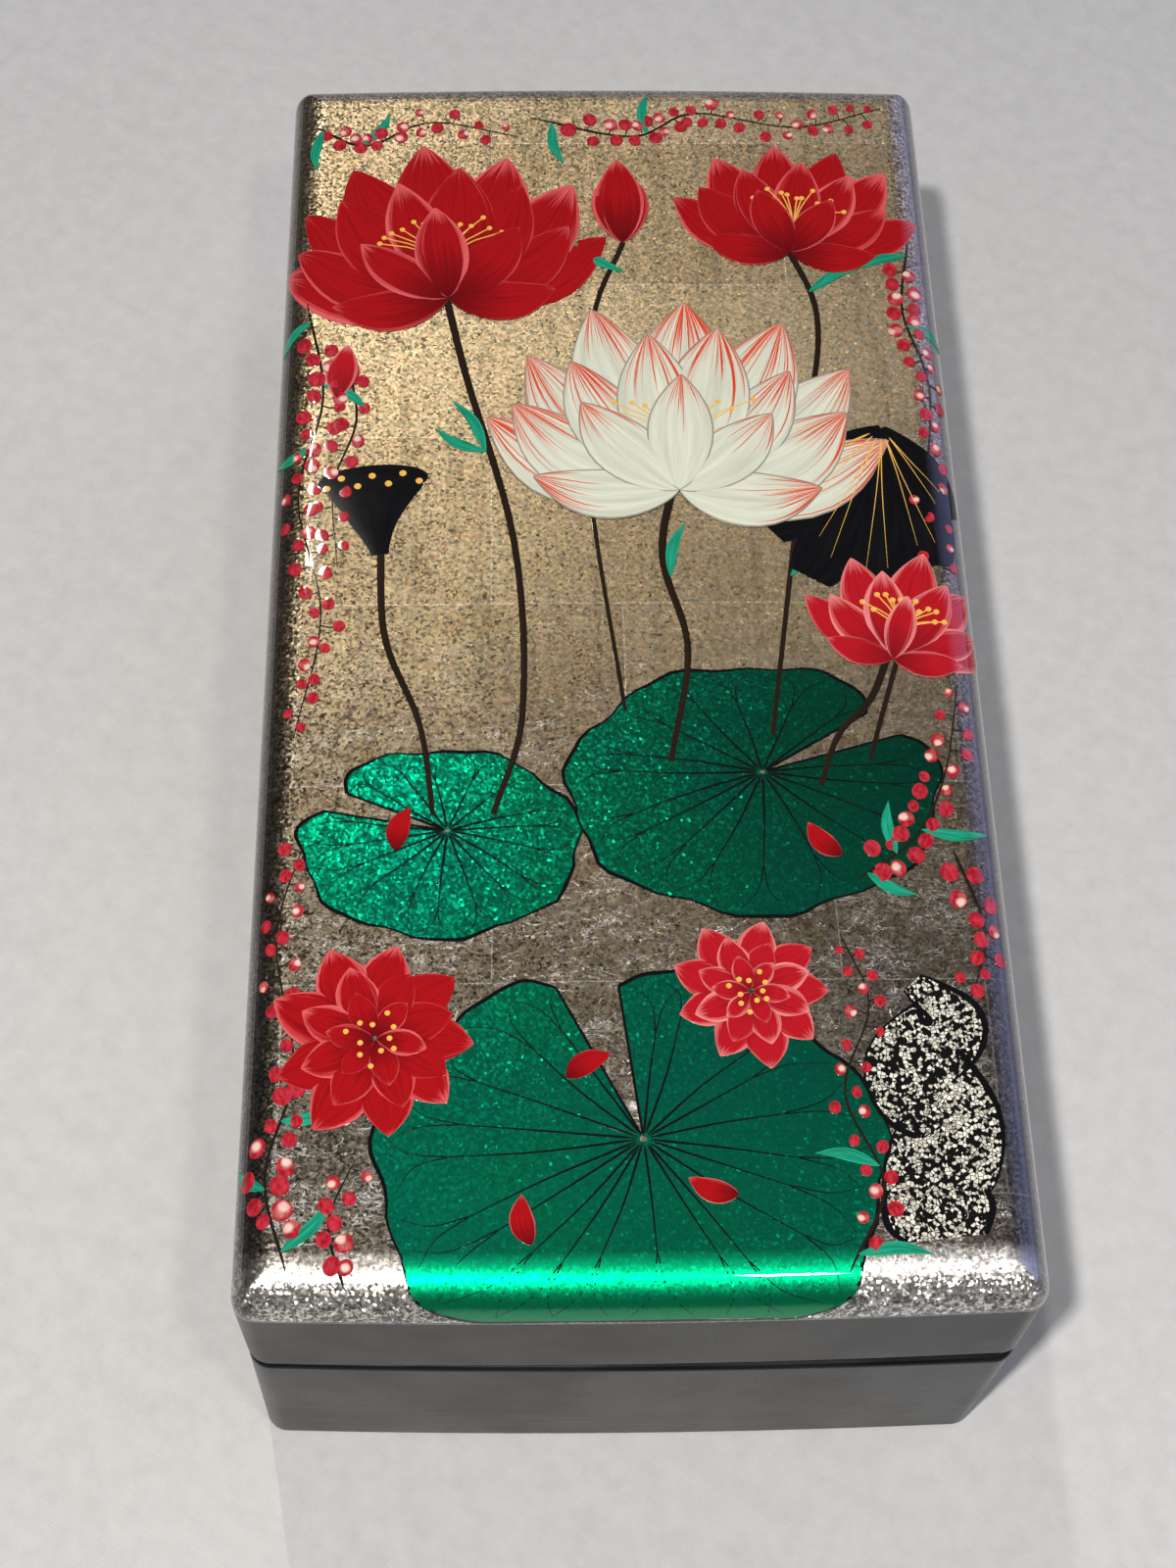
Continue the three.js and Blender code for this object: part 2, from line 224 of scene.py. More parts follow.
def toned_metal(tree, place, parts, up_the_lid, chances):
    """The leaf's own colour: bright and dim facets, each with the cast that the thin toner gives it, which is
    rose, straw, champagne or grey-green. The toner thins out towards the front, and on the front edge it is
    polished down to the silvery metal. Over the lid it is painted brighter towards the back and darker towards the
    front, partly the leaf's own tone and partly a painted reflection of the lamp behind the box."""
    brightness = [(0.0, "#615d56"), (0.3, "#9c9890"), (0.7, "#cbc7c0"), (1.0, "#ffffff")]
    bright = add(tree, "ValToRGB", {"stops": brightness}, Fac=chances["Red"])
    casts = [(0.0, "#efcfbc"), (0.35, "#f8eeda"), (0.65, "#f5e4be"), (1.0, "#cfdac6")]
    cast = add(tree, "ValToRGB", {"stops": casts}, Fac=chances["Green"])
    polished_off = (FRONT_ROUND - 1.0) * MM
    kept = add(tree, "MapRange", Value=parts["Y"], From_Min=polished_off, From_Max=0.0, To_Min=0.15)
    grain = add(tree, "Mix", TINTED, Factor=kept, A=bright, B=cast)
    wander = add(tree, "TexNoise", Vector=place, Scale=1 / (38 * MM), Detail=2.0)
    wandered = add(tree, "Math", TIMES_AND_ADDED, i0=wander, i1=0.36, i2=up_the_lid)
    # Brighter towards the back of the lid and darker towards the front: partly the leaf's own tone, partly painted
    # reflection of the lamp behind the box.
    tones_and_reflection = [(0.12, "#8f8c87"), (0.3, "#7f7c78"), (0.55, "#b0a79a"), (0.88, "#fff6e4")]
    tone_and_painted_reflection = add(tree, "ValToRGB", {"stops": tones_and_reflection}, Fac=wandered)
    grain_with_painted_reflection = add(tree, "Mix", TINTED, Factor=1.0, A=grain, B=tone_and_painted_reflection)
    bare = add(
        tree,
        "MapRange",
        Value=parts["Y"],
        From_Min=polished_off,
        From_Max=(FRONT_ROUND + 1.5) * MM,
        To_Min=0.8,
        To_Max=0.0,
    )
    return add(tree, "Mix", MIXED, Factor=bare, A=grain_with_painted_reflection, B=linear("#f6f5f3"))


def leaf_sheets(tree, place):
    """The sheets the leaf was laid in, each a shade of its own, with the lines where they meet."""
    wrinkled = add(tree, "TexNoise", Vector=place, Scale=1 / (16 * MM), Detail=3.0).outputs["Color"]
    bent = add(tree, "VectorMath", TIMES_AND_ADDED, i0=wrinkled, i1=(0.8 * MM,) * 3, i2=place)
    return add(
        tree,
        "TexBrick",
        {"offset": 0.41},
        Vector=bent,
        Color1=linear("#ffffff"),
        Color2=linear("#dcd7cf"),
        Mortar=linear("#ffffff"),
        Scale=1.0,
        Mortar_Size=0.1 * MM,
        Brick_Width=SHEET_LENGTH * MM,
        Row_Height=SHEET_WIDTH * MM,
    ).outputs


def front_crumple(tree, place, up_the_lid):
    """How crumpled the leaf is, and how sharply folded. It is most crumpled near the front, on the flat
    and low on the rounding, where the folds are sharp too. In between, where the rounding begins, it was
    burnished smooth."""
    toward_front = add(tree, "MapRange", Value=up_the_lid, From_Min=0.55, From_Max=0.05)
    level = level_on_lid(tree, place)
    flat = add(
        tree, "MapRange", Value=level, From_Min=(LID_TOP - 0.12) * MM, From_Max=(LID_TOP - 0.02) * MM
    )
    low_round = add(
        tree, "MapRange", Value=level, From_Min=(EDGE_FOOT + 4.8) * MM, From_Max=(EDGE_FOOT + 3.0) * MM
    )
    unpolished = add(tree, "Math", LARGER, i0=flat, i1=low_round)
    crumpled = add(tree, "Math", TIMES, i0=toward_front, i1=unpolished)
    folded = add(tree, "Math", TIMES, i0=toward_front, i1=low_round)
    return crumpled, folded


def painted_hollow_shade_and_ridge_light(tree, clumps, crumpled, folded):
    """Painted shade in the hollows and painted highlights on the ridges, the more so the more the leaf is
    crumpled. Where it is folded the painted shade and highlights are dark and bright, with little between."""
    hollow_shade = add(tree, "MapRange", Value=crumpled, To_Min=0.80, To_Max=0.20)
    ridge_highlight = add(tree, "MapRange", Value=crumpled, To_Min=1.10, To_Max=1.9)
    darkest = add(tree, "MapRange", Value=folded, To_Min=0.32, To_Max=0.47)
    brightest = add(tree, "MapRange", Value=folded, To_Min=0.68, To_Max=0.57)
    return add(
        tree, "MapRange", Value=clumps, From_Min=darkest, From_Max=brightest, To_Min=hollow_shade, To_Max=ridge_highlight
    )


def streaks_and_shaded_sides(tree, place, parts):
    """Dims the leaf in streaks along the lid, as it was brushed, and darkens it over the two long edges as painted
    shade, standing in for how dark the leaf looks there under the coat."""
    brushed = add(tree, "Mapping", Vector=place, Scale=(1 / (2.4 * MM), 1 / (38 * MM), 1 / (2.4 * MM)))
    streaks = add(tree, "TexNoise", Vector=brushed, Scale=1.0, Detail=3.0)
    streaked = add(tree, "MapRange", Value=streaks, From_Min=0.32, From_Max=0.5, To_Min=0.78, To_Max=1.0)
    across = add(tree, "Math", SIZE_OF, i0=parts["X"])
    rubbed = add(tree, "Math", TIMES_AND_ADDED, i0=streaks, i1=1.5 * MM, i2=across)
    # Painted shade: the leaf is darkened over the two long rounded edges.
    thin = add(
        tree,
        "MapRange",
        Value=rubbed,
        From_Min=(HALF_WIDTH - 3.6) * MM,
        From_Max=(HALF_WIDTH - 0.8) * MM,
        To_Min=1.0,
        To_Max=0.5,
    )
    return add(tree, "Math", TIMES, i0=streaked, i1=thin)


def crease_highlights_and_seams(tree, place, crumpled, seam):
    """Painted highlights along fine creases three ways across, strongest in the crumpled leaf, and the sheets'
    faint seams.
    """
    rising = hairlines(tree, place, 35, 2.0, 1.9, 0.030, 0.0)
    falling = hairlines(tree, place, -12, 2.6, 2.3, 0.032, 3.1)
    upright = hairlines(tree, place, 80, 1.6, 2.6, 0.030, 7.7)
    rising_or_falling = add(tree, "Math", LARGER, i0=rising, i1=falling)
    creases = add(tree, "Math", LARGER, i0=rising_or_falling, i1=upright)
    most = add(tree, "MapRange", Value=crumpled, To_Min=0.05, To_Max=0.55)
    seen_crease_highlights = add(tree, "Math", TIMES, i0=creases, i1=most)
    seen_seams = add(tree, "Math", TIMES, i0=seam, i1=0.10)
    return add(tree, "Math", LARGER, i0=seen_crease_highlights, i1=seen_seams)


def leaf_material():
    """Aluminium leaf toned with yellow lacquer, crumpled as it was laid, then coated and polished. The metal
    glitters facet by facet under a smooth clear coat. Sheets meet in faint lines, the toner is streaked, and
    polishing has cut through to black at the edges. Its colour also carries painted light: painted shade in the
    hollows and highlights on the ridges and creases, a painted reflection towards the back, painted shade over the
    long edges and a flat grey painted reflection over the right edge."""
    material, tree = new_material("toned metal leaf under clear lacquer")
    place = add(tree, "TexCoord").outputs["Object"]
    parts = add(tree, "SeparateXYZ", Vector=place).outputs
    half_length = HALF_LENGTH * MM
    up_the_lid = add(tree, "MapRange", Value=parts["Y"], From_Min=-half_length, From_Max=half_length)
    chances, normal = leaf_facets(tree, place, BRUSHED_TILT, EDGE_CRUMPLE)
    toned = toned_metal(tree, place, parts, up_the_lid, chances)
    sheets = leaf_sheets(tree, place)
    sheeted = add(tree, "Mix", TINTED, Factor=1.0, A=toned, B=sheets["Color"])

    crumpled, folded = front_crumple(tree, place, up_the_lid)
    clumps = add(
        tree, "TexNoise", Vector=place, Scale=1 / (CLUMP * MM), Detail=5.0, Roughness=0.72, Distortion=0.8
    )
    # Painted shade in the crumpled leaf's hollows and painted highlights on its ridges.
    clump_shade_and_highlight = painted_hollow_shade_and_ridge_light(tree, clumps, crumpled, folded)
    streaks_and_side_shade = streaks_and_shaded_sides(tree, place, parts)
    shade = add(tree, "Math", TIMES, i0=clump_shade_and_highlight, i1=streaks_and_side_shade)
    leaf_with_painted_shade = add(tree, "VectorMath", SCALED, i0=sheeted, Scale=shade)
    lines = crease_highlights_and_seams(tree, place, crumpled, sheets["Fac"])
    # Mixes in the painted crease highlights and the sheets' faint seams.
    with_crease_highlights_and_seams = add(tree, "Mix", MIXED, Factor=lines, A=leaf_with_painted_shade, B=linear("#fbf9f5"))
    # Over the right edge only, the leaf's colour is evened to a flat grey: a painted reflection, so that the
    # lacquer there mirrors the room as one even strip.
    right_edge_reflection_share = add(
        tree,
        "MapRange",
        Value=parts["X"],
        From_Min=(HALF_WIDTH - 3.4) * MM,
        From_Max=(HALF_WIDTH - 1.8) * MM,
        To_Max=0.62,
    )
    with_painted_right_reflection = add(tree, "Mix", MIXED, Factor=right_edge_reflection_share, A=with_crease_highlights_and_seams, B=linear("#9c9a9a"))

    specks = add(tree, "TexNoise", Vector=place, Scale=1 / (0.55 * MM), Detail=2.0, Roughness=0.6)
    worn = worn_edges(tree, place, specks)
    colour = add(tree, "Mix", MIXED, Factor=worn, A=with_painted_right_reflection, B=linear("#0c0b0b"))
    metal = add(tree, "MapRange", Value=worn, To_Min=1.0, To_Max=0.0)
    roughness = add(tree, "MapRange", Value=clumps, From_Min=0.3, From_Max=0.7, To_Min=0.37, To_Max=0.43)
    shader = add(
        tree,
        "BsdfPrincipled",
        Base_Color=colour,
        Metallic=metal,
        Roughness=roughness,
        Normal=normal,
        **CLEAR_COAT,
    )
    add(tree, "OutputMaterial", Surface=shader)
    return material


def emerald_material():
    """Clear emerald lacquer over the leaf: the metal shows through as a deep, even green, with lighter threads
    painted in as highlights along the creased leaf. The green is painted darker towards the middle of the lid and
    lighter towards the front, as painted shade and highlight, and on the rounded front edge it is rubbed thin, so
    that it blazes where it faces a lamp."""
    material, tree = new_material("emerald lacquer over leaf")
    place = add(tree, "TexCoord").outputs["Object"]
    chances, normal = leaf_facets(tree, place, EVEN_TILT, EMERALD_CRUMPLE)
    greens = [(0.0, "#006a48"), (0.5, "#007a54"), (0.93, "#00865e"), (1.0, "#00b07c")]
    grain = add(tree, "ValToRGB", {"stops": greens}, Fac=chances["Red"])
    pools = add(tree, "TexNoise", Vector=place, Scale=1 / (22 * MM), Detail=3.0)
    pooled = add(tree, "MapRange", Value=pools, From_Min=0.3, From_Max=0.7, To_Max=0.55)
    deep = add(tree, "Mix", MIXED, Factor=pooled, A=grain, B=linear("#006e60"))
    # Painted highlights: lighter threads along the creases of the leaf.
    slanting = hairlines(tree, place, 48, 4.0, 2.2, 0.03, 1.3)
    level = hairlines(tree, place, 4, 5.0, 2.6, 0.035, 5.2)
    threads = add(tree, "Math", LARGER, i0=slanting, i1=level)
    faint = add(tree, "Math", TIMES, i0=threads, i1=0.35)
    with_crease_glints = add(tree, "Mix", MIXED, Factor=faint, A=deep, B=linear("#0a9a72"))
    along = add(tree, "SeparateXYZ", Vector=place).outputs["Y"]
    # Painted shade and highlight: the green is darkened towards the middle of the lid and lightened towards the
    # front.
    front_light_middle_shade = add(
        tree, "MapRange", Value=along, From_Min=-88 * MM, From_Max=-25 * MM, To_Min=1.35, To_Max=0.55
    )
    green_with_painted_shade = add(tree, "VectorMath", SCALED, i0=with_crease_glints, Scale=front_light_middle_shade)
    rubbed = add(
        tree, "MapRange", Value=along, From_Min=(FRONT_ROUND + 1) * MM, From_Max=(FRONT_ROUND - 1) * MM
    )
    thinned = add(tree, "Math", TIMES, i0=rubbed, i1=0.8)
    colour = add(tree, "Mix", MIXED, Factor=thinned, A=green_with_painted_shade, B=linear("#009561"))
    roughness = add(tree, "MapRange", Value=rubbed, To_Min=0.24, To_Max=0.42)
    shader = add(
        tree,
        "BsdfPrincipled",
        Base_Color=colour,
        Metallic=0.95,
        Roughness=roughness,
        Specular_Tint=linear("#1c8c6c"),
        Normal=normal,
        **CLEAR_COAT,
    )
    add(tree, "OutputMaterial", Surface=shader)
    return material


def black_lacquer_material():
    """Black lacquer brushed on wood and rubbed down: nearly black, with a semi-gloss that mirrors the table as
    grey, fine rubbing marks along the boards, a lighter haze in streaks towards the foot, partly scuff marks and
    partly painted reflection of the pale table, and a few specks of dust under the coat."""
    material, tree = new_material("rubbed black lacquer")
    place = add(tree, "TexCoord").outputs["Object"]
    long_marks = add(tree, "Mapping", Vector=place, Scale=(1 / (26 * MM), 1 / (26 * MM), 1 / (0.45 * MM)))
    rubbed = add(tree, "TexNoise", Vector=long_marks, Scale=1.0, Detail=4.0, Roughness=0.65)
    blacks = [(0.3, "#08080a"), (0.7, "#161619")]
    base = add(tree, "ValToRGB", {"stops": blacks}, Fac=rubbed)
    height = add(tree, "SeparateXYZ", Vector=place).outputs["Z"]
    # Lighter in streaks towards the foot: partly scuff marks, partly painted reflection of the pale table.
    near_foot = add(tree, "MapRange", Value=height, From_Min=36 * MM, From_Max=0.0, To_Max=0.55)
    streaky = add(tree, "MapRange", Value=rubbed, From_Min=0.38, From_Max=0.66)
    scuffs_and_sheen = add(tree, "Math", TIMES, i0=streaky, i1=near_foot)
    scuffed_and_sheened = add(tree, "Mix", MIXED, Factor=scuffs_and_sheen, A=base, B=linear("#56565a"))
    dust = add(tree, "TexVoronoi", Vector=place, Scale=1 / (3.1 * MM))
    speck = add(tree, "MapRange", Value=dust, From_Min=0.03, From_Max=0.06, To_Min=0.8, To_Max=0.0)
    colour = add(tree, "Mix", MIXED, Factor=speck, A=scuffed_and_sheened, B=linear("#707074"))
    cloud = add(tree, "TexNoise", Vector=place, Scale=1 / (12 * MM), Detail=3.0)
    roughness = add(tree, "MapRange", Value=cloud, From_Min=0.3, From_Max=0.7, To_Min=0.24, To_Max=0.34)
    bump = add(tree, "Bump", Strength=0.2, Distance=0.04 * MM, Height=rubbed)
    shader = add(
        tree,
        "BsdfPrincipled",
        Base_Color=colour,
        Roughness=roughness,
        IOR=LACQUER_IOR,
        Specular_IOR_Level=0.23,
        Normal=bump,
    )
    add(tree, "OutputMaterial", Surface=shader)
    return material


# Paint. Every painted shape carries its own place: x along it, y across it from -1 to 1, z its chance.

# Paint lies under the same clear lacquer, so only the lacquer's own face is glossy.
PAINT_COAT = dict(Specular_IOR_Level=0.0, Coat_Weight=1.0, Coat_Roughness=0.03, Coat_IOR=LACQUER_IOR)


def paint_places(tree):
    spot = add(tree, "Attribute", {"attribute_name": "paint"}).outputs["Vector"]
    return spot, add(tree, "SeparateXYZ", Vector=spot).outputs


def brush_streaks(tree, spot, along, across):
    """Noise drawn out along the brush stroke, from hair marks that lie side by side. Each shape's chance
    is scaled up too, so that no two shapes have the same marks."""
    stretched = add(tree, "Mapping", Vector=spot, Scale=(along, across, 37.0))
    return add(tree, "TexNoise", Vector=stretched, Scale=1.0, Detail=3.0, Roughness=0.6)


def petal_material(name, deep, body, rim, rim_start):
    """Oil-bound red painted wet in wet: deep at the heart, with a paler rim dragged in by the brush."""
    material, tree = new_material(name)
    spot, parts = paint_places(tree)
    streaks = brush_streaks(tree, spot, 1.4, 8.0)
    sideways = add(tree, "Math", SIZE_OF, i0=parts["Y"])
    to_tip = add(tree, "MapRange", Value=parts["X"], From_Min=0.35, From_Max=1.0)
    outward = add(tree, "Math", LARGER, i0=sideways, i1=to_tip)
    ragged = add(tree, "Math", TIMES_AND_ADDED, i0=streaks, i1=0.75, i2=outward)
    # Some petals got a well loaded rim, others hardly any.
    loaded = add(tree, "MapRange", Value=parts["Z"], To_Min=0.16, To_Max=-0.12)
    drawn = add(tree, "Math", SUBTRACTED, i0=ragged, i1=loaded)
    at_rim = add(tree, "MapRange", Value=drawn, From_Min=rim_start, From_Max=1.42, To_Max=0.9)
    heart = add(tree, "MapRange", Value=parts["X"], From_Min=0.0, From_Max=0.55, To_Max=1.9)
    from_heart = add(tree, "Math", TIMES, i0=heart, i1=streaks)
    ground = add(tree, "Mix", MIXED, Factor=from_heart, A=linear(deep), B=linear(body))
    colour = add(tree, "Mix", MIXED, Factor=at_rim, A=ground, B=linear(rim))
    bump = add(tree, "Bump", Strength=0.25, Distance=0.04 * MM, Height=streaks)
    shader = add(tree, "BsdfPrincipled", Base_Color=colour, Roughness=0.38, Normal=bump, **PAINT_COAT)
    add(tree, "OutputMaterial", Surface=shader)
    return material


def cream_petal_material():
    """Cream paint with orange-red hairs of colour drawn in from each petal's tip, and a grey-brown
    contour."""
    material, tree = new_material("cream paint with orange streaks")
    spot, parts = paint_places(tree)
    streaks = brush_streaks(tree, spot, 0.8, 13.0)
    soft = brush_streaks(tree, spot, 1.5, 4.0)
    reach = add(
        tree, "MapRange", Value=parts["X"], From_Min=0.3, From_Max=0.95, To_Min=-0.10, To_Max=0.18
    )
    drawn = add(tree, "Math", ADDED, i0=streaks, i1=reach)
    hair = add(tree, "MapRange", Value=drawn, From_Min=0.60, From_Max=0.70)
    creams = [(0.3, "#a5a898"), (0.7, "#bcbfae")]
    ground = add(tree, "ValToRGB", {"stops": creams}, Fac=soft)
    streaked = add(tree, "Mix", MIXED, Factor=hair, A=ground, B=linear("#b3381a"))
    edge = add(tree, "Attribute", {"attribute_name": "border"}).outputs["Fac"]
    contour = add(
        tree, "MapRange", Value=edge, From_Min=0.16 * MM, From_Max=0.34 * MM, To_Min=0.85, To_Max=0.0
    )
    colour = add(tree, "Mix", MIXED, Factor=contour, A=streaked, B=linear("#70685e"))
    shader = add(tree, "BsdfPrincipled", Base_Color=colour, Roughness=0.4, **PAINT_COAT)
    add(tree, "OutputMaterial", Surface=shader)
    return material


def bud_material():
    """Dots of red set down with a loaded brush, a third of them with a touch of pinkish white off to one
    side."""
    material, tree = new_material("red bud dots touched with white")
    spot, parts = paint_places(tree)
    blotch = brush_streaks(tree, spot, 2.0, 1.6)
    reds = [(0.35, "#780d16"), (0.65, "#a52c38")]
    red = add(tree, "ValToRGB", {"stops": reds}, Fac=blotch)
    from_middle = add(
        tree, "VectorMath", TIMES_AND_ADDED, i0=spot, i1=(2.0, 0.8, 0.0), i2=(-1.0, 0.0, 0.0)
    )
    thrown = add(tree, "TexWhiteNoise", {"noise_dimensions": "1D"}, W=parts["Z"]).outputs["Color"]
    flat = add(tree, "VectorMath", TIMES_AND_ADDED, i0=thrown, i1=(1.0, 1.0, 0.0), i2=(-0.5, -0.5, 0.0))
    gap = add(tree, "VectorMath", {"operation": "DISTANCE"}, i0=from_middle, i1=flat).outputs["Value"]
    touch = add(tree, "MapRange", Value=gap, From_Min=0.62, From_Max=0.30, To_Max=0.92)
    touched = add(tree, "Math", {"operation": "GREATER_THAN"}, i0=parts["Z"], i1=0.68)
    white = add(tree, "Math", TIMES, i0=touch, i1=touched)
    colour = add(tree, "Mix", MIXED, Factor=white, A=red, B=linear("#cdb3a6"))
    shader = add(tree, "BsdfPrincipled", Base_Color=colour, Roughness=0.36, **PAINT_COAT)
    add(tree, "OutputMaterial", Surface=shader)
    return material


def plain_paint_material(name, low, high):
    """Opaque paint laid on in single strokes, thinner and darker where the brush lifted."""
    material, tree = new_material(name)
    streaks = brush_streaks(tree, paint_places(tree)[0], 2.0, 3.0)
    colour = add(tree, "ValToRGB", {"stops": [(0.3, low), (0.7, high)]}, Fac=streaks)
    shader = add(tree, "BsdfPrincipled", Base_Color=colour, Roughness=0.38, **PAINT_COAT)
    add(tree, "OutputMaterial", Surface=shader)
    return material


def eggshell_material():
    """Crushed eggshell pressed into black lacquer and ground flush: pale angular chips, black between."""
    material, tree = new_material("crushed eggshell in black lacquer")
    place = add(tree, "TexCoord").outputs["Object"]
    chip_size = 0.5 * MM
    cells = add(tree, "TexVoronoi", {"feature": "DISTANCE_TO_EDGE"}, Vector=place, Scale=1 / chip_size)
    chips = add(tree, "TexVoronoi", Vector=place, Scale=1 / chip_size).outputs["Color"]
    chance = add(tree, "SeparateColor", Color=chips)
    solid = add(tree, "MapRange", Value=cells, From_Min=0.05, From_Max=0.11)
    patches = add(tree, "TexNoise", Vector=place, Scale=1 / (3.4 * MM), Detail=3.0)
    dense = add(tree, "Math", ADDED, i0=chance, i1=patches)
    present = add(tree, "MapRange", Value=dense, From_Min=0.90, From_Max=0.96)
    chip = add(tree, "Math", TIMES, i0=solid, i1=present)
    shells = [(0.0, "#6f6c60"), (0.5, "#a3a092"), (1.0, "#cfccbf")]
    shell = add(tree, "ValToRGB", {"stops": shells}, Fac=chance)
    colour = add(tree, "Mix", MIXED, Factor=chip, A=linear("#0d0d0c"), B=shell)
    bump = add(tree, "Bump", Strength=0.3, Distance=0.05 * MM, Height=chip)
    shader = add(tree, "BsdfPrincipled", Base_Color=colour, Roughness=0.34, Normal=bump, **PAINT_COAT)
    add(tree, "OutputMaterial", Surface=shader)
    return material


# Inside finishes and hardware


def velvet_material():
    """Wine-red cotton velvet: dark straight on and bright at a slant, where the short pile catches light.
    The nap is brushed in soft patches about 26 mm across."""
    material, tree = new_material("wine red cotton velvet")
    place = add(tree, "TexCoord").outputs["Object"]
    nap = add(tree, "TexNoise", Vector=place, Scale=1 / (26 * MM), Detail=2.0)
    pile = add(tree, "TexNoise", Vector=place, Scale=1 / (0.45 * MM), Detail=2.0)
    mixed = add(tree, "Math", TIMES_AND_ADDED, i0=pile, i1=0.5, i2=nap)
    wines = [(0.35, "#30040a"), (1.0, "#4e0d16")]
    colour = add(tree, "ValToRGB", {"stops": wines}, Fac=mixed)
    bump = add(tree, "Bump", Strength=0.5, Distance=0.25 * MM, Height=pile)
    shader = add(
        tree,
        "BsdfPrincipled",
        Base_Color=colour,
        Roughness=0.92,
        Specular_IOR_Level=0.1,
        Normal=bump,
        Sheen_Weight=0.14,
        Sheen_Roughness=0.35,
        Sheen_Tint=linear("#c8505a"),
    )
    add(tree, "OutputMaterial", Surface=shader)
    return material


def mirror_material():
    """Float glass silvered on the back: a clean mirror, with a faint grey-green cast and a few smears."""
    material, tree = new_material("silvered mirror glass")
    place = add(tree, "TexCoord").outputs["Object"]
    smears = add(tree, "TexNoise", Vector=place, Scale=1 / (18 * MM), Detail=4.0)
    colour = add(tree, "ValToRGB", {"stops": [(0.3, "#d9dfdd"), (0.7, "#e8ecea")]}, Fac=smears)
    roughness = add(tree, "MapRange", Value=smears, From_Min=0.5, From_Max=0.8, To_Min=0.02, To_Max=0.07)
    shader = add(tree, "BsdfPrincipled", Base_Color=colour, Metallic=1.0, Roughness=roughness)
    add(tree, "OutputMaterial", Surface=shader)
    return material


def brass_material():
    """Stamped brass: warm yellow metal with fine drawing marks and brown tarnish in clouds."""
    material, tree = new_material("stamped brass")
    place = add(tree, "TexCoord").outputs["Object"]
    drawn = add(tree, "Mapping", Vector=place, Scale=(1 / (0.2 * MM), 1 / (6 * MM), 1 / (0.2 * MM)))
    marks = add(tree, "TexNoise", Vector=drawn, Scale=1.0, Detail=3.0)
    clouds = add(tree, "TexNoise", Vector=place, Scale=1 / (2.5 * MM), Detail=4.0)
    brasses = [(0.3, "#a57c3e"), (0.5, "#c79a4e"), (0.8, "#dcb76e")]
    colour = add(tree, "ValToRGB", {"stops": brasses}, Fac=clouds)
    roughness = add(tree, "MapRange", Value=marks, To_Min=0.22, To_Max=0.45)
    bump = add(tree, "Bump", Strength=0.15, Distance=0.03 * MM, Height=marks)
    shader = add(
        tree, "BsdfPrincipled", Base_Color=colour, Metallic=1.0, Roughness=roughness, Normal=bump
    )
    add(tree, "OutputMaterial", Surface=shader)
    return material


def cloth_material():
    """Plain pale cotton cloth for the table, lying a little askew: an even weave whose threads swell and
    thin. It is drawn at 0.5 mm, a little coarser than such cloth, so that it shows."""
    material, tree = new_material("pale cotton table cloth")
    square_on = add(tree, "TexCoord").outputs["Object"]
    place = add(tree, "Mapping", Vector=square_on, Rotation=(0, 0, math.radians(33)))
    pitch = 0.5 * MM
    bands = 2 * math.pi / 20 / pitch  # a wave texture of scale 1 has 20 / (2 pi) bands a metre
    uneven = add(tree, "TexNoise", Vector=place, Scale=1 / (4 * MM), Detail=3.0, Roughness=0.7)
    warp = add(tree, "TexWave", {"bands_direction": "X"}, Vector=place, Scale=bands, Distortion=0.6)
    weft = add(tree, "TexWave", {"bands_direction": "Y"}, Vector=place, Scale=bands, Distortion=0.6)
    woven = add(tree, "Math", TIMES, i0=warp.outputs["Fac"], i1=weft.outputs["Fac"])
    shade = add(tree, "TexNoise", Vector=place, Scale=1 / (120 * MM), Detail=2.0)
    clouded = add(tree, "Math", TIMES_AND_ADDED, i0=shade, i1=0.35, i2=uneven)
    mixed = add(tree, "Math", TIMES_AND_ADDED, i0=woven, i1=0.3, i2=clouded)
    colour = add(tree, "ValToRGB", {"stops": [(0.35, "#a3a3a2"), (1.0, "#b2b2b1")]}, Fac=mixed)
    bump = add(tree, "Bump", Strength=0.3, Distance=0.1 * MM, Height=mixed)
    shader = add(
        tree, "BsdfPrincipled", Base_Color=colour, Roughness=0.95, Specular_IOR_Level=0.2, Normal=bump
    )
    add(tree, "OutputMaterial", Surface=shader)
    return material


LEAF = leaf_material()
EMERALD = emerald_material()
BLACK_LACQUER = black_lacquer_material()
RED_PETAL = petal_material("red petal paint", "#4f0509", "#8a0c10", "#bb5254", 1.20)
ROSE_PETAL = petal_material("rose petal paint", "#680a11", "#96121b", "#c87a78", 1.08)
CREAM_PETAL = cream_petal_material()
BUD_RED = bud_material()
TEAL_PAINT = plain_paint_material("teal leaf paint", "#0c5a44", "#1f9072")
TWIG_PAINT = plain_paint_material("dark twig paint", "#100b07", "#261c14")
GOLD_PAINT = plain_paint_material("gold stamen paint", "#a87626", "#dbb05a")
BLACK_PAINT = plain_paint_material("black brush paint", "#050506", "#0e0e10")
EGGSHELL = eggshell_material()
VELVET = velvet_material()
MIRROR = mirror_material()
BRASS = brass_material()


# Painting on the lid. Places are mm from the lid's middle, measured over its rounded edges.

EDGE_SPAN = EDGE_RADIUS * math.pi / 2
LAYER = 0.006  # mm between one brush layer and the next
PAINT_THICKNESS = 0.025
PAINT_DOME = 0.6  # share of the thickness by which a broad stroke falls towards its sides
SHARP_PAINT = math.radians(50)
FINEST_PAINT = 0.02  # mm, half the width of the finest stroke
BORDER_REACH = 3.0  # mm in from a stroke's side, past which its distance is no longer counted


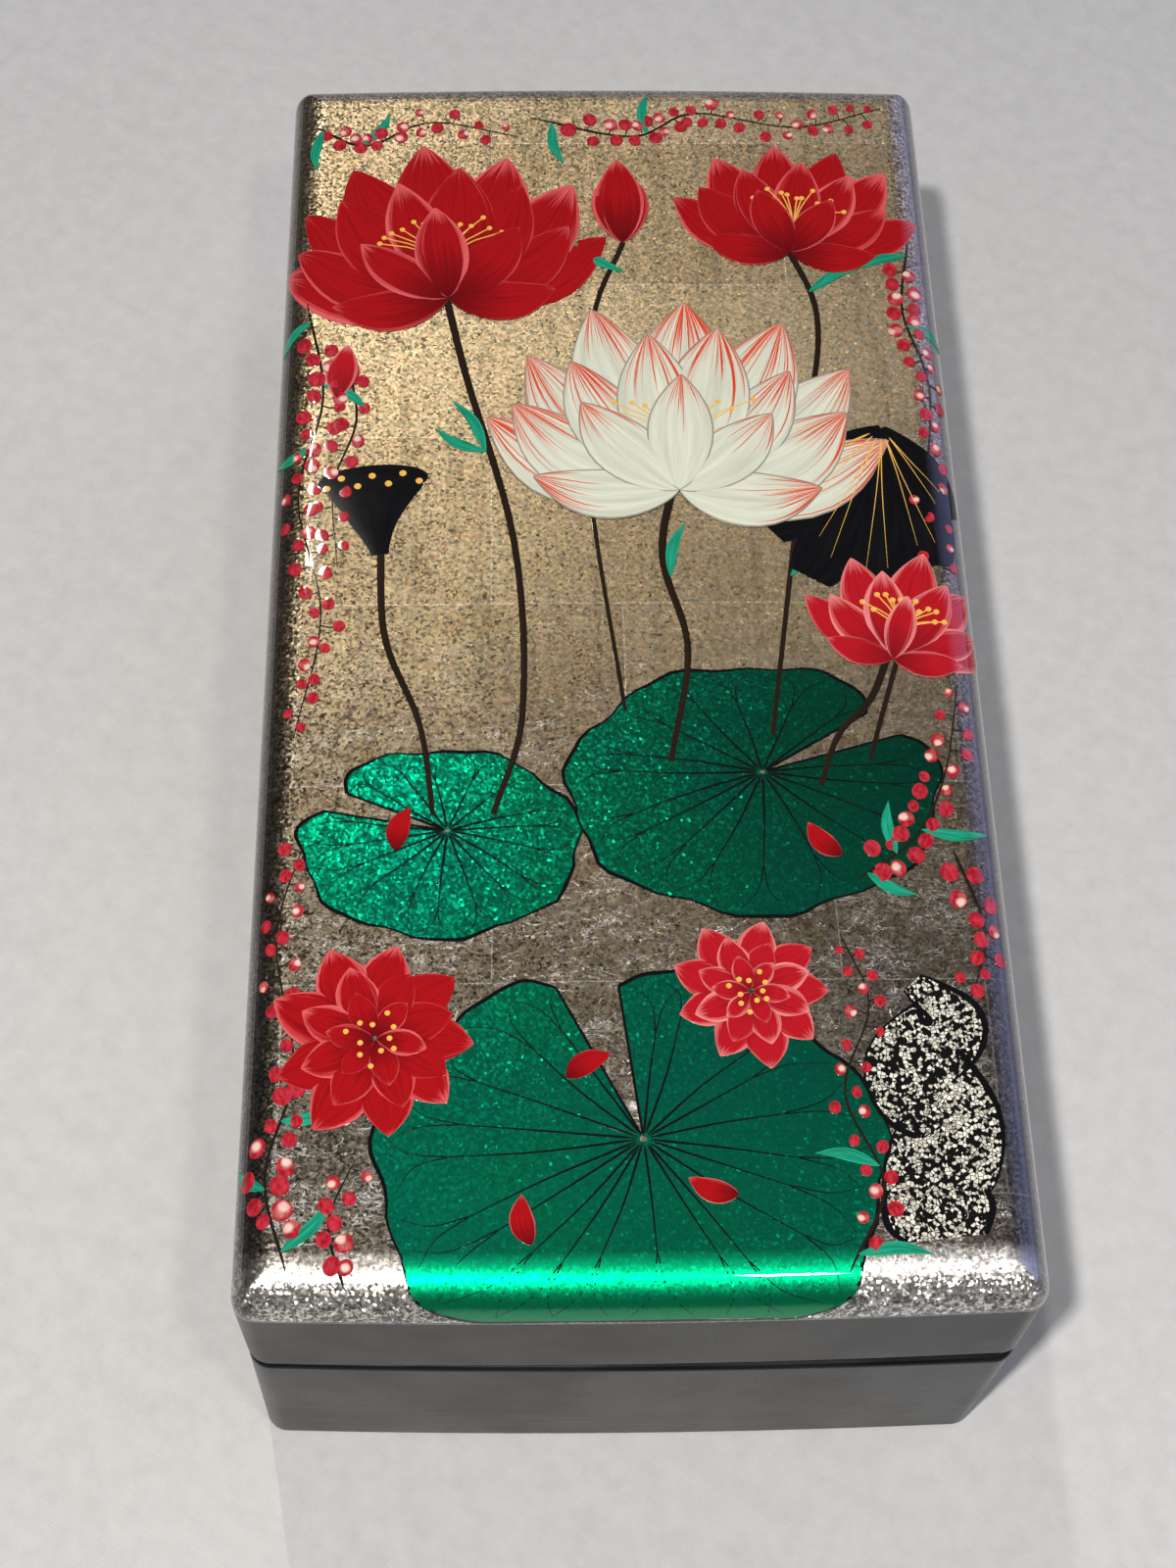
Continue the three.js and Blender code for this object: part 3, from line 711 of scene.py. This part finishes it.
def sheet_faces(start, rows, columns):
    """Faces of a closed thin sheet: an upper grid of corners, the same grid under it, and its walls."""
    across = columns + 1
    under = start + (rows + 1) * across
    faces = []
    for row in range(rows):
        for column in range(columns):
            low = start + row * across + column
            faces.append((low, low + across, low + across + 1, low + 1))
            low = under + row * across + column
            faces.append((low, low + 1, low + across + 1, low + across))
    rim = list(range(across))
    rim += [row * across + columns for row in range(1, rows + 1)]
    rim += [rows * across + column for column in range(columns - 1, -1, -1)]
    rim += [row * across for row in range(rows - 1, 0, -1)]
    for here, there in zip(rim, rim[1:] + rim[:1]):
        faces.append((start + here, start + there, under + there, under + here))
    return faces


def over_edge(distance, flat_half):
    """How far the surface has turned at this distance from the middle, and the place seen from above."""
    past = abs(distance) - flat_half
    if past <= 0:
        return 0.0, distance
    angle = min(past / EDGE_RADIUS, math.pi / 2)
    return angle, math.copysign(flat_half + EDGE_RADIUS * math.sin(angle), distance)


def on_lid(x, y, lift):
    """The point this far above the lid's surface, in metres, on the lid as it rests."""
    angle_x, flat_x = over_edge(x, HALF_WIDTH - EDGE_RADIUS)
    bow = END_BOW * (1 - min(abs(flat_x) / HALF_WIDTH, 1) ** 2)
    angle_y, flat_y = over_edge(y, HALF_LENGTH + bow - EDGE_RADIUS)
    angle = max(angle_x, angle_y)
    normal = Vector(
        (math.copysign(math.sin(angle_x), x), math.copysign(math.sin(angle_y), y), math.cos(angle))
    ).normalized()
    surface = Vector((flat_x, flat_y, LID_TOP - EDGE_RADIUS * (1 - math.cos(angle))))
    return LID_TURN @ ((surface + normal * lift) * MM)


FRONT_LIMIT = FRONT_ROUND - EDGE_SPAN  # where the painted front edge ends, at its corners


def heading(path, t, step=0.01):
    """Unit vectors along the path at t, and to its left."""
    ahead = Vector(path(min(t + step, 1.0))) - Vector(path(max(t - step, 0.0)))
    ahead.normalize()
    return ahead, Vector((-ahead.y, ahead.x))


def new_object(name, data):
    """Shows a mesh, light or camera in the scene."""
    shown = bpy.data.objects.new(name, data)
    bpy.context.scene.collection.objects.link(shown)
    return shown


def new_piece(name, corners, faces, material):
    mesh = bpy.data.meshes.new(name)
    mesh.from_pydata(corners, [], faces)
    mesh.materials.append(material)
    mesh.shade_smooth()
    return new_object(name, mesh)


PAINTINGS = []


class Painting:
    """One kind of paint: closed thin shapes gathered into a single mesh."""

    def __init__(self, name, material):
        PAINTINGS.append(self)
        self.name = name
        self.material = material
        self.corners = []
        self.faces = []
        self.places = []
        self.borders = []

    def shape(self, spine, half_width, layer, steps, chance=0.0):
        """Paints along spine(t), half_width(t) to each side, as a thin solid that follows the lid."""
        rows, columns = steps
        start = len(self.corners)
        top = layer * LAYER + PAINT_THICKNESS
        for raised in (True, False):
            for row in range(rows + 1):
                t = 0.5 - 0.5 * math.cos(math.pi * row / rows)
                middle = Vector(spine(t))
                _, sideways = heading(spine, t)
                width = max(half_width(t), FINEST_PAINT)
                for column in range(columns + 1):
                    s = 2 * column / columns - 1
                    x, y = middle + sideways * (s * width)
                    sink = PAINT_DOME * PAINT_THICKNESS * min(width / 2, 1) * s * s
                    lift = top - sink if raised else 0.0
                    self.corners.append(on_lid(x, y, lift))
                    self.places.append((t, s, chance))
                    self.borders.append(min(width * (1 - abs(s)), BORDER_REACH) * MM)
        self.faces += sheet_faces(start, rows, columns)

    def finish(self):
        piece = new_piece(self.name, self.corners, self.faces, self.material)
        mesh = piece.data
        mesh.attributes.new("paint", "FLOAT_VECTOR", "POINT").data.foreach_set(
            "vector", [number for place in self.places for number in place]
        )
        mesh.attributes.new("border", "FLOAT", "POINT").data.foreach_set("value", self.borders)
        mesh.set_sharp_from_angle(angle=SHARP_PAINT)
        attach(piece, "lid")


def line(*points):
    """A smooth path through the points, as a function from 0 to 1."""
    path = [Vector(point) for point in points]
    path = [2 * path[0] - path[1], *path, 2 * path[-1] - path[-2]]
    spans = len(points) - 1

    def place(t):
        span = min(int(t * spans), spans - 1)
        u = t * spans - span
        a, b, c, d = path[span : span + 4]
        return 0.5 * (
            2 * b + (c - a) * u + (2 * a - 5 * b + 4 * c - d) * u * u + (3 * b - a - 3 * c + d) * u**3
        )

    return place


def polar(middle, angle, distance):
    turn = math.radians(angle)
    return (middle[0] + distance * math.cos(turn), middle[1] + distance * math.sin(turn))


def pointed(width):
    """Lotus petal: narrow foot, broad middle, pointed tip."""
    return lambda t: width * math.sin(math.pi * min(t, 1) ** 0.86) ** 0.8 if 0 < t < 1 else 0.0


def rounded(width):
    """Round blob: an ellipse along its spine."""
    return lambda t: width * math.sqrt(max(1 - (2 * t - 1) ** 2, 0))


def tapered(width, lift_off):
    """Brush line that starts full and thins out to its end."""
    return lambda t: width * (lift_off + (1 - lift_off) * (1 - t)) * min(1, 12 * t + 0.3)


chooser = random.Random(7)

pads = Painting("emerald_lotus_pads", EMERALD)
pad_lines = Painting("lotus_pad_lines", BLACK_PAINT)
stems = Painting("dark_stems", TWIG_PAINT)
black_leaves = Painting("black_lotus_leaf_and_pods", BLACK_PAINT)
gold_marks = Painting("gold_seeds_and_veins", GOLD_PAINT)
red_petals = Painting("red_lotus_petals", RED_PETAL)
rose_petals = Painting("rose_lotus_petals", ROSE_PETAL)
cream_petals = Painting("cream_lotus_petals", CREAM_PETAL)
stamens = Painting("gold_stamens", GOLD_PAINT)
buds = Painting("smartweed_buds", BUD_RED)
teal_leaves = Painting("teal_leaves", TEAL_PAINT)
stone = Painting("eggshell_stone", EGGSHELL)
stone_line = Painting("stone_outline", BLACK_PAINT)


NOTCH_HALF_ANGLE = 8  # degrees, to each side of the notch's middle


class RoundLeaf:
    """Round lotus leaf seen at a slant: a wavy oval, a hub off its middle, and a notch."""

    def __init__(self, middle, across, deep, notch):
        self.middle = middle
        self.across = across
        self.deep = deep
        self.hub = (middle[0] + across * 0.05, middle[1] + deep * 0.12)
        self.start = notch + NOTCH_HALF_ANGLE
        self.sweep = 360 - 2 * NOTCH_HALF_ANGLE

    def border(self, share):
        """A place on the border, from one side of the notch round to the other."""
        angle = math.radians(self.start + self.sweep * share)
        wave = 1 + 0.030 * math.sin(7 * angle + self.across) + 0.014 * math.sin(17 * angle)
        near_notch = min(share, 1 - share) * self.sweep
        lobe = 1 - 0.10 * max(0.0, 1 - near_notch / 14) ** 2
        x = self.middle[0] + self.across * wave * lobe * math.cos(angle)
        y = self.middle[1] + self.deep * wave * lobe * math.sin(angle)
        return x, max(y, FRONT_LIMIT)

    def spot(self, share, reach):
        """The place this far from the hub (0) to the border (1)."""
        edge = self.border(share)
        return (
            self.hub[0] + (edge[0] - self.hub[0]) * reach,
            self.hub[1] + (edge[1] - self.hub[1]) * reach,
        )


def paint_round_leaf(leaf, layer, veins=17):
    """Fills the leaf, then draws its border, notch and forking veins."""
    size = max(leaf.across, leaf.deep)
    rows, columns = int(size * 5.2), int(size * 1.25)
    start = len(pads.corners)
    for raised in (True, False):
        for row in range(rows + 1):
            for column in range(columns + 1):
                reach = 1 - 0.985 * column / columns
                x, y = leaf.spot(row / rows, reach)
                pads.corners.append(on_lid(x, y, layer * LAYER + PAINT_THICKNESS if raised else 0.0))
                pads.places.append((row / rows, 2 * reach - 1, 0.0))
                pads.borders.append(size * (1 - reach) * MM)
    pads.faces += sheet_faces(start, rows, columns)

    count = int(size * 4)
    rim = line(*[leaf.border(step / 60) for step in range(61)])
    pad_lines.shape(rim, lambda t: 0.20 + 0.07 * math.sin(40 * t), layer + 2, steps=(count, 2))
    for side in (0.0, 1.0):
        pad_lines.shape(
            line(leaf.spot(side, 0.03), leaf.spot(side, 0.5), leaf.spot(side, 1.0)),
            lambda t: 0.17,
            layer + 2,
            steps=(int(size), 2),
        )
    for vein in range(veins):
        share = (vein + 0.5 + chooser.uniform(-0.2, 0.2)) / veins
        bend = chooser.uniform(-0.012, 0.012)
        fork = chooser.uniform(0.60, 0.74)
        at_fork = leaf.spot(share + bend, fork)
        pad_lines.shape(
            line(leaf.spot(share, 0.03), leaf.spot(share + bend * 0.4, fork * 0.55), at_fork),
            tapered(0.17, 0.45),
            layer + 1,
            steps=(int(size), 2),
        )
        for side in (-1, 1):
            at_tip = leaf.spot(min(max(share + bend + side * 0.021, 0.004), 0.996), 0.95)
            elbow = leaf.spot(share + bend + side * 0.006, (fork + 1) / 2)
            pad_lines.shape(line(at_fork, elbow, at_tip), tapered(0.10, 0.3), layer + 1, steps=(12, 2))


def lotus_flower(kind, foot, facing, length, layer, spread, backs=7):
    """Lotus seen from the side: a fan of back petals, gold stamens, then shorter front petals."""
    rings = (
        (backs, 1.0, spread, 0.0),
        (backs - 1, 0.88, spread * 0.82, 1.2),
        (backs - 2, 0.64, spread * 1.15, 2.0),
    )
    for ring, (count, share, fan, tuck) in enumerate(rings):
        if ring == 2:
            layer = stamen_fan(foot, facing, length, layer)
        # The outermost petals come first, so that the inner ones lie over them.
        offsets = [petal - (count - 1) / 2 for petal in range(count)]
        for offset in sorted(offsets, key=abs, reverse=True):
            lean = facing + offset * 2 * fan / (count - 1) + chooser.uniform(-2.5, 2.5)
            reach = length * share * (1 - 0.10 * abs(offset) / count) * chooser.uniform(0.95, 1.05)
            curl = -offset * 2.4
            base = polar(foot, facing + 180, tuck)
            layer += 1
            kind.shape(
                line(base, polar(base, lean - curl, reach * 0.55), polar(base, lean + curl, reach)),
                pointed(reach * chooser.uniform(0.20, 0.24)),
                layer,
                steps=(20, 8),
                chance=chooser.random(),
            )


def stamen_fan(foot, facing, length, layer):
    """Gold hairs with round tips, spread above the heart of the flower."""
    for hair in range(13):
        lean = facing + (hair - 6) * 7.5 + chooser.uniform(-2, 2)
        reach = length * chooser.uniform(0.42, 0.56)
        low = polar(foot, facing, 2.0)
        tip = polar(foot, lean, reach)
        bend = polar(foot, (lean + facing) / 2, reach * 0.6)
        stamens.shape(line(low, bend, tip), lambda t: 0.10, layer + 1, steps=(8, 2))
        dot(stamens, tip, 0.42, layer + 2)
    return layer + 2


def dot(kind, middle, radius, layer, lean=90.0, squash=1.0, chance=0.0):
    kind.shape(
        line(polar(middle, lean, -radius), middle, polar(middle, lean, radius)),
        rounded(radius * squash),
        layer,
        steps=(8, 6),
        chance=chance,
    )


def water_lily(kind, middle, radius, layer):
    """Open flower seen from above: three rings of petals round a gold heart."""
    for count, share, turn in ((9, 1.0, 0), (8, 0.74, 20), (6, 0.48, 50)):
        for petal in range(count):
            lean = turn + 360 * petal / count + chooser.uniform(-4, 4)
            reach = radius * share * chooser.uniform(0.93, 1.05)
            layer += 0.6
            tip = polar(middle, lean, reach)
            kind.shape(
                line(polar(middle, lean, 0.3), polar(middle, lean + 3, reach * 0.6), tip),
                pointed(reach * 0.27),
                layer,
                steps=(14, 6),
                chance=chooser.random(),
            )
    for seed in range(11):
        dot(stamens, polar(middle, 33 * seed, radius * 0.14 * (1 + (seed % 3) * 0.5)), 0.36, layer + 1)


def closed_bud(kind, foot, facing, length, layer):
    for lean, share, width in ((-13, 0.86, 0.17), (13, 0.86, 0.17), (0, 1.0, 0.22)):
        layer += 1
        half_way = polar(foot, facing + lean * 0.9, length * share * 0.55)
        kind.shape(
            line(foot, half_way, polar(foot, facing + lean * 0.3, length * share)),
            pointed(length * width),
            layer,
            steps=(16, 8),
            chance=chooser.random(),
        )


def fallen_petal(kind, middle, lean, length, layer):
    foot, tip = [polar(middle, lean, length * side / 2) for side in (-1, 1)]
    kind.shape(
        line(foot, polar(middle, lean + 90, 0.6), tip),
        pointed(length * 0.24),
        layer,
        steps=(12, 6),
        chance=chooser.random(),
    )


def seed_pod(foot, facing, length, mouth, layer):
    """Black lotus pod: a cone that widens to a flat rim set with gold seeds."""
    head = polar(foot, facing, length)
    black_leaves.shape(
        line(foot, polar(foot, facing + 3, length * 0.5), head),
        lambda t: mouth * (0.16 + 0.84 * t**1.4) * (1.0 if t < 0.96 else 0.93),
        layer,
        steps=(16, 8),
    )
    black_leaves.shape(
        line(polar(head, facing + 90, mouth), head, polar(head, facing - 90, mouth)),
        rounded(mouth * 0.34),
        layer + 1,
        steps=(18, 6),
    )
    for seed in range(7):
        across = polar(head, facing - 90, mouth * (seed - 3) / 3.6)
        dot(gold_marks, polar(across, facing, mouth * (0.10 if seed % 2 else -0.10)), 0.52, layer + 2)


def curled_black_leaf(layer):
    """Dried lotus leaf, black with gold veins, hanging from its stalk like a half-shut fan."""
    foot = (39, 30)
    # The folds' leans in degrees, lengths and half widths.
    folds = (
        (-152, 19, 3.6),
        (-134, 25, 4.6),
        (-115, 29, 5.2),
        (-96, 29, 5.2),
        (-77, 25, 4.6),
        (-60, 18, 3.4),
    )
    for lean, length, width in folds:
        layer += 1
        tip = polar(foot, lean, length)
        belly = polar(foot, lean + 4, length * 0.6)
        black_leaves.shape(
            line(foot, belly, tip),
            lambda t, width=width: width * math.sin(math.pi * min(0.03 + 0.80 * t, 1.0)) ** 0.7,
            layer,
            steps=(26, 10),
        )
    for lean, length, _ in folds:
        for side in (-3.5, 3.5):
            tip = polar(foot, lean + side, length * chooser.uniform(0.72, 0.88))
            gold_marks.shape(
                line(polar(foot, lean, 2.0), polar(foot, lean + side * 0.6, length * 0.4), tip),
                tapered(0.10, 0.2),
                layer + 1,
                steps=(16, 2),
            )


def stem(points, width, layer):
    stems.shape(line(*points), lambda t: width * (1 - 0.35 * t), layer, steps=(40, 2))


def smartweed(points, dots, layer, size=1.15, leafy=0):
    """Drooping spray: a thin dark stalk with red dots set close along it, larger near its foot."""
    path = line(*points)
    stems.shape(path, tapered(0.22, 0.3), layer, steps=(36, 2))
    for number in range(dots):
        t = 0.10 + 0.90 * (number + chooser.uniform(-0.3, 0.3)) / dots
        t = min(max(t, 0.0), 1.0)
        side = (1 if number % 2 else -1) * chooser.uniform(0.4, 2.6)
        here = Vector(path(t))
        ahead, leftward = heading(path, t, 0.02)
        spot = here + leftward * side
        stems.shape(
            line(here, (here + spot) / 2 + ahead * 0.3, spot), lambda t: 0.07, layer, steps=(4, 2)
        )
        radius = size * (1.15 - 0.4 * t) * chooser.uniform(0.8, 1.15)
        dot(
            buds,
            spot,
            radius,
            layer + 1 + number % 3,
            lean=chooser.uniform(60, 120),
            squash=chooser.uniform(0.82, 0.98),
            chance=chooser.random(),
        )
    for blade in range(leafy):
        t = 0.05 + 0.5 * blade / leafy
        step = Vector(path(t + 0.05)) - Vector(path(t))
        lean = math.degrees(math.atan2(step.y, step.x)) + (55 if blade % 2 else -60)
        narrow_leaf(path(t), lean, chooser.uniform(6.0, 9.5), layer + 1)


def narrow_leaf(foot, lean, length, layer):
    bend = chooser.choice((-9, 9))
    teal_leaves.shape(
        line(foot, polar(foot, lean + bend, length * 0.55), polar(foot, lean, length)),
        lambda t: 0.85 * math.sin(math.pi * min(t, 1) ** 0.8) if 0 < t < 1 else 0.0,
        layer,
        steps=(14, 4),
        chance=chooser.random(),
    )


def garden_stone(foot, height, width, lean, layer):
    """Upright stone with a knobbly outline, inlaid all over."""

    def outline(t):
        knobs = 1 + 0.11 * math.sin(11 * t + 0.6) + 0.08 * math.sin(27 * t)
        return width * knobs * (1.15 - 0.55 * t) * math.sin(math.pi * (0.10 + 0.86 * t)) ** 0.5

    turns = ((0.0, 0), (0.22, 7), (0.45, -9), (0.66, 8), (0.85, -5), (1.0, 4))
    spine = line(*[polar(foot, lean + side, height * share) for share, side in turns])
    stone.shape(spine, outline, layer, steps=(56, 20))
    for side in (-1, 1):

        def border(t, side=side):
            _, leftward = heading(spine, t)
            return Vector(spine(t)) + leftward * side * outline(t)

        stone_line.shape(border, lambda t: 0.28 + 0.16 * math.sin(17 * t), layer + 1, steps=(70, 2))


def paint_lid():
    """The pond: round leaves along the front, flowers above them, dotted sprays down both sides."""
    paint_round_leaf(RoundLeaf((-25, -38), 18.5, 14, 150), 1)
    paint_round_leaf(RoundLeaf((17, -30), 25, 19, 35), 4)
    paint_round_leaf(RoundLeaf((-1, -83), 31.5, 27, 100), 7, veins=21)

    stem([(9, 24), (6, 8), (9, -8), (6, -26)], 0.62, 11)
    stem([(-26, 60), (-22, 40), (-15, 10), (-14, -18), (-18, -34)], 0.6, 11)
    stem([(-34, 10), (-33, -6), (-28, -20), (-26, -34)], 0.55, 11)
    stem([(38, -6), (34, -16), (29, -22), (26, -30)], 0.55, 11)
    stem([(27, 66), (31, 50), (27, 24), (20, -22)], 0.5, 10)
    stem([(2, 66), (-3, 50), (-4, 20), (0, -18)], 0.42, 10)
    stem([(39, 30), (42, 18), (40, -2), (33, -26)], 0.5, 10)

    curled_black_leaf(11)
    seed_pod((-34, 8), 96, 13, 8.0, 12)

    lotus_flower(red_petals, (-25, 57), 97, 28, 12, spread=82)
    lotus_flower(red_petals, (28, 66), 82, 21, 12, spread=76, backs=6)
    lotus_flower(cream_petals, (9, 21), 87, 33, 16, spread=80)
    lotus_flower(rose_petals, (38, -8), 74, 16, 14, spread=74, backs=5)
    closed_bud(red_petals, (2, 66), 92, 17, 12)
    closed_bud(rose_petals, (-41, 36), 82, 10, 12)
    water_lily(red_petals, (-33, -66), 13.5, 14)
    water_lily(rose_petals, (15, -60), 10.5, 14)
    for x, y, lean in ((-6, -70, 30), (9, -86, 160), (-30, -36, 75), (26, -38, 130), (-14, -90, 100)):
        fallen_petal(red_petals, (x, y), lean, 6.5, 14)

    garden_stone((37, -93), 34, 7.2, 88, 9)

    smartweed([(-46, 54), (-43, 36), (-46, 18), (-42, -2), (-45, -22)], 36, 12, leafy=3)
    smartweed([(-40, 44), (-38, 32), (-41, 20), (-40, 6)], 14, 12)
    smartweed([(-12, 92), (4, 88), (14, 93), (30, 90), (44, 94)], 34, 10, leafy=2)
    smartweed([(-46, 90), (-38, 86), (-28, 91), (-14, 88)], 18, 10, leafy=2)
    smartweed([(46, 66), (44, 52), (47, 38), (45, 20), (46, 4)], 34, 14, leafy=2)
    smartweed([(30, -44), (38, -38), (43, -28), (46, -14)], 22, 13, leafy=3)
    smartweed([(43, -40), (46, -52), (43, -62)], 12, 13)
    smartweed([(-43, -96), (-46, -84), (-43, -70), (-46, -52), (-43, -38)], 30, 13, leafy=3)
    smartweed([(-36, -98), (-38, -90), (-35, -82)], 9, 13)
    smartweed([(25, -97), (30, -86), (26, -74), (30, -62), (27, -52)], 22, 14, size=0.9, leafy=2)
    blades = ((-19, 26, 150), (-19, 26, 118), (24, 4, 40), (7, 4, 75), (2, 60, 140), (30, 56, 30))
    for x, y, lean in blades:
        narrow_leaf((x, y), lean, chooser.uniform(8, 11), 12)


paint_lid()
for painting in PAINTINGS:
    painting.finish()


# The CAD pieces keep their shape and get their finishes.

NODE_FINISHES = {
    "black_lacquer": BLACK_LACQUER,
    "leafed_lacquer": LEAF,
    "velvet_lining": VELVET,
    "mirror": MIRROR,
    "brass_hinges": BRASS,
}
SHARP_ANGLE = math.radians(40)


def dress_nodes():
    for subpart in frame["record"]["subparts"]:
        node = NODES[subpart["node"]]
        node.data.materials.clear()
        node.data.materials.append(NODE_FINISHES[subpart["material_slot"]])
        node.data.shade_smooth()
        node.data.set_sharp_from_angle(angle=SHARP_ANGLE)
        even = node.modifiers.new("even shading", "WEIGHTED_NORMAL")
        even.keep_sharp = True


dress_nodes()


# Velvet pads

PAD_DRAWN_IN = 0.25  # mm by which each side bows in between its corners


def pad_fullness(u, v):
    """How high the pad stands, from 0 at its sides to 1 in its middle. u and v run from -1 to 1."""
    if abs(u) == 1 or abs(v) == 1:
        return 0.0
    plump = (1 - abs(u) ** 7) ** 0.4 * (1 - abs(v) ** 9) ** 0.4
    return plump * (0.78 + 0.22 * (1 - u * u) * (1 - v * v))


def velvet_pad(node):
    """A wadded pad: crowned in the middle, drawn in at its sides and standing on a low straight wall all round."""
    low, high = [Vector(corner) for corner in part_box(node)]
    middle = (low + high) / 2
    half = (high - low) / 2
    rows, columns = 48, 34
    corners = []
    for upper in (True, False):
        for row in range(rows + 1):
            for column in range(columns + 1):
                u, v = 1 - 2 * column / columns, 2 * row / rows - 1
                in_from_end = PAD_DRAWN_IN * MM * (1 - u * u) if abs(v) == 1 else 0
                in_from_side = PAD_DRAWN_IN * MM * (1 - v * v) if abs(u) == 1 else 0
                x = middle.x + u * (half.x - in_from_side)
                y = middle.y + v * (half.y - in_from_end)
                rise = 0.25 + 0.75 * pad_fullness(u, v) if upper else 0.0
                corners.append((x, y, low.z + rise * (high.z - low.z)))
    pad = new_piece(node + "_velvet", corners, sheet_faces(0, rows, columns), VELVET)
    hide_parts(node)
    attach(pad, "base")


velvet_pad("front_compartment_pad")
velvet_pad("back_compartment_pad")


# Table, lights and camera

TABLE_HALF = 12.0  # metres, so that its edge lies far off in every view


def make_table():
    corners = [(x * TABLE_HALF, y * TABLE_HALF, 0) for x, y in ((-1, -1), (1, -1), (1, 1), (-1, 1))]
    table = new_piece("table_cloth", corners, [(0, 1, 2, 3)], cloth_material())


def lamp(name, place, aim, width, height, power, colour):
    """A rectangular lamp."""
    light = bpy.data.lights.new(name, "AREA")
    light.shape = "RECTANGLE"
    light.size = width
    light.size_y = height
    light.energy = power
    light.color = linear(colour)[:3]
    holder = new_object(name, light)
    holder.location = place
    toward = Vector(aim) - Vector(place)
    holder.rotation_euler = toward.to_track_quat("-Z", "Y").to_euler()


def glow(tree, facing, toward, spread, colour, strength):
    """A soft patch of light in the room, seen in this direction."""
    aim = Vector(toward).normalized()
    closeness = add(tree, "VectorMath", {"operation": "DOT_PRODUCT"}, i0=facing, i1=aim).outputs["Value"]
    share = add(
        tree,
        "MapRange",
        {"interpolation_type": "SMOOTHSTEP"},
        Value=closeness,
        From_Min=math.cos(math.radians(spread)),
        From_Max=1.0,
        To_Max=strength,
    )
    return add(tree, "VectorMath", SCALED, i0=linear(colour)[:3], Scale=share)


def light_scene():
    """Two small lamps higher than the camera and one far behind the box, a soft light from above, and a
    dim room with two bluish patches that the lacquer mirrors."""
    lamp("lamp_in_front_left", (-0.14, -0.26, 0.64), (0.08, -0.05, 0.05), 0.025, 0.025, 5.2, "#fffcf8")
    lamp("lamp_over_camera", (0.06, -0.206, 0.50), (0, -0.05, 0.05), 0.03, 0.03, 0.55, "#fffdf8")
    lamp("lamp_behind_left", (-0.225, 0.87, 1.228), (-0.03, 0.03, 0.06), 0.02, 0.10, 6.2, "#fffbf2")
    skylight = bpy.data.lights.new("soft_skylight", "SUN")
    skylight.energy = 0.24
    skylight.angle = math.radians(22)
    skylight.color = linear("#fbf7f2")[:3]
    holder = new_object("soft_skylight", skylight)
    holder.rotation_euler = Vector((-0.4, -0.05, -1.0)).to_track_quat("-Z", "Y").to_euler()
    world = bpy.data.worlds.new("room")
    bpy.context.scene.world = world
    world.use_nodes = True
    tree = world.node_tree
    tree.nodes.clear()
    facing = add(tree, "TexCoord").outputs["Generated"]
    room = linear("#424449")[:3]
    for patch in (
        glow(tree, facing, (0.80, 0.52, 0.24), 44, "#9fa7dc", 1.9),
        glow(tree, facing, (0.0, 1.0, 0.05), 34, "#8d9bc0", 0.9),
    ):
        room = add(tree, "VectorMath", ADDED, i0=room, i1=patch)
    background = add(tree, "Background", Color=room, Strength=1.0)
    add(tree, "OutputWorld", Surface=background.outputs[0])
    bpy.context.scene.view_settings.view_transform = "Standard"


# The camera's place and aim come from the box's own edges in the photograph.
CAMERA_PLACE = Vector((-20.8, -182.8, 336.5)) * MM
CAMERA_AIM = Vector((0.04725, 0.48600, -0.87268))
CAMERA_UP = Vector((-0.00336, 0.87373, 0.48641))
CAMERA_LENS = 54.0


def make_camera():
    data = bpy.data.cameras.new("camera")
    data.sensor_width = 36.0
    data.lens = CAMERA_LENS
    data.clip_start = 0.01
    camera = new_object("camera", data)
    back = -CAMERA_AIM.normalized()
    right = CAMERA_UP.cross(back).normalized()
    up = back.cross(right)
    turn = Matrix((right, up, back)).transposed().to_4x4()
    camera.matrix_world = Matrix.Translation(CAMERA_PLACE) @ turn
    bpy.context.scene.camera = camera


make_table()
light_scene()
make_camera()
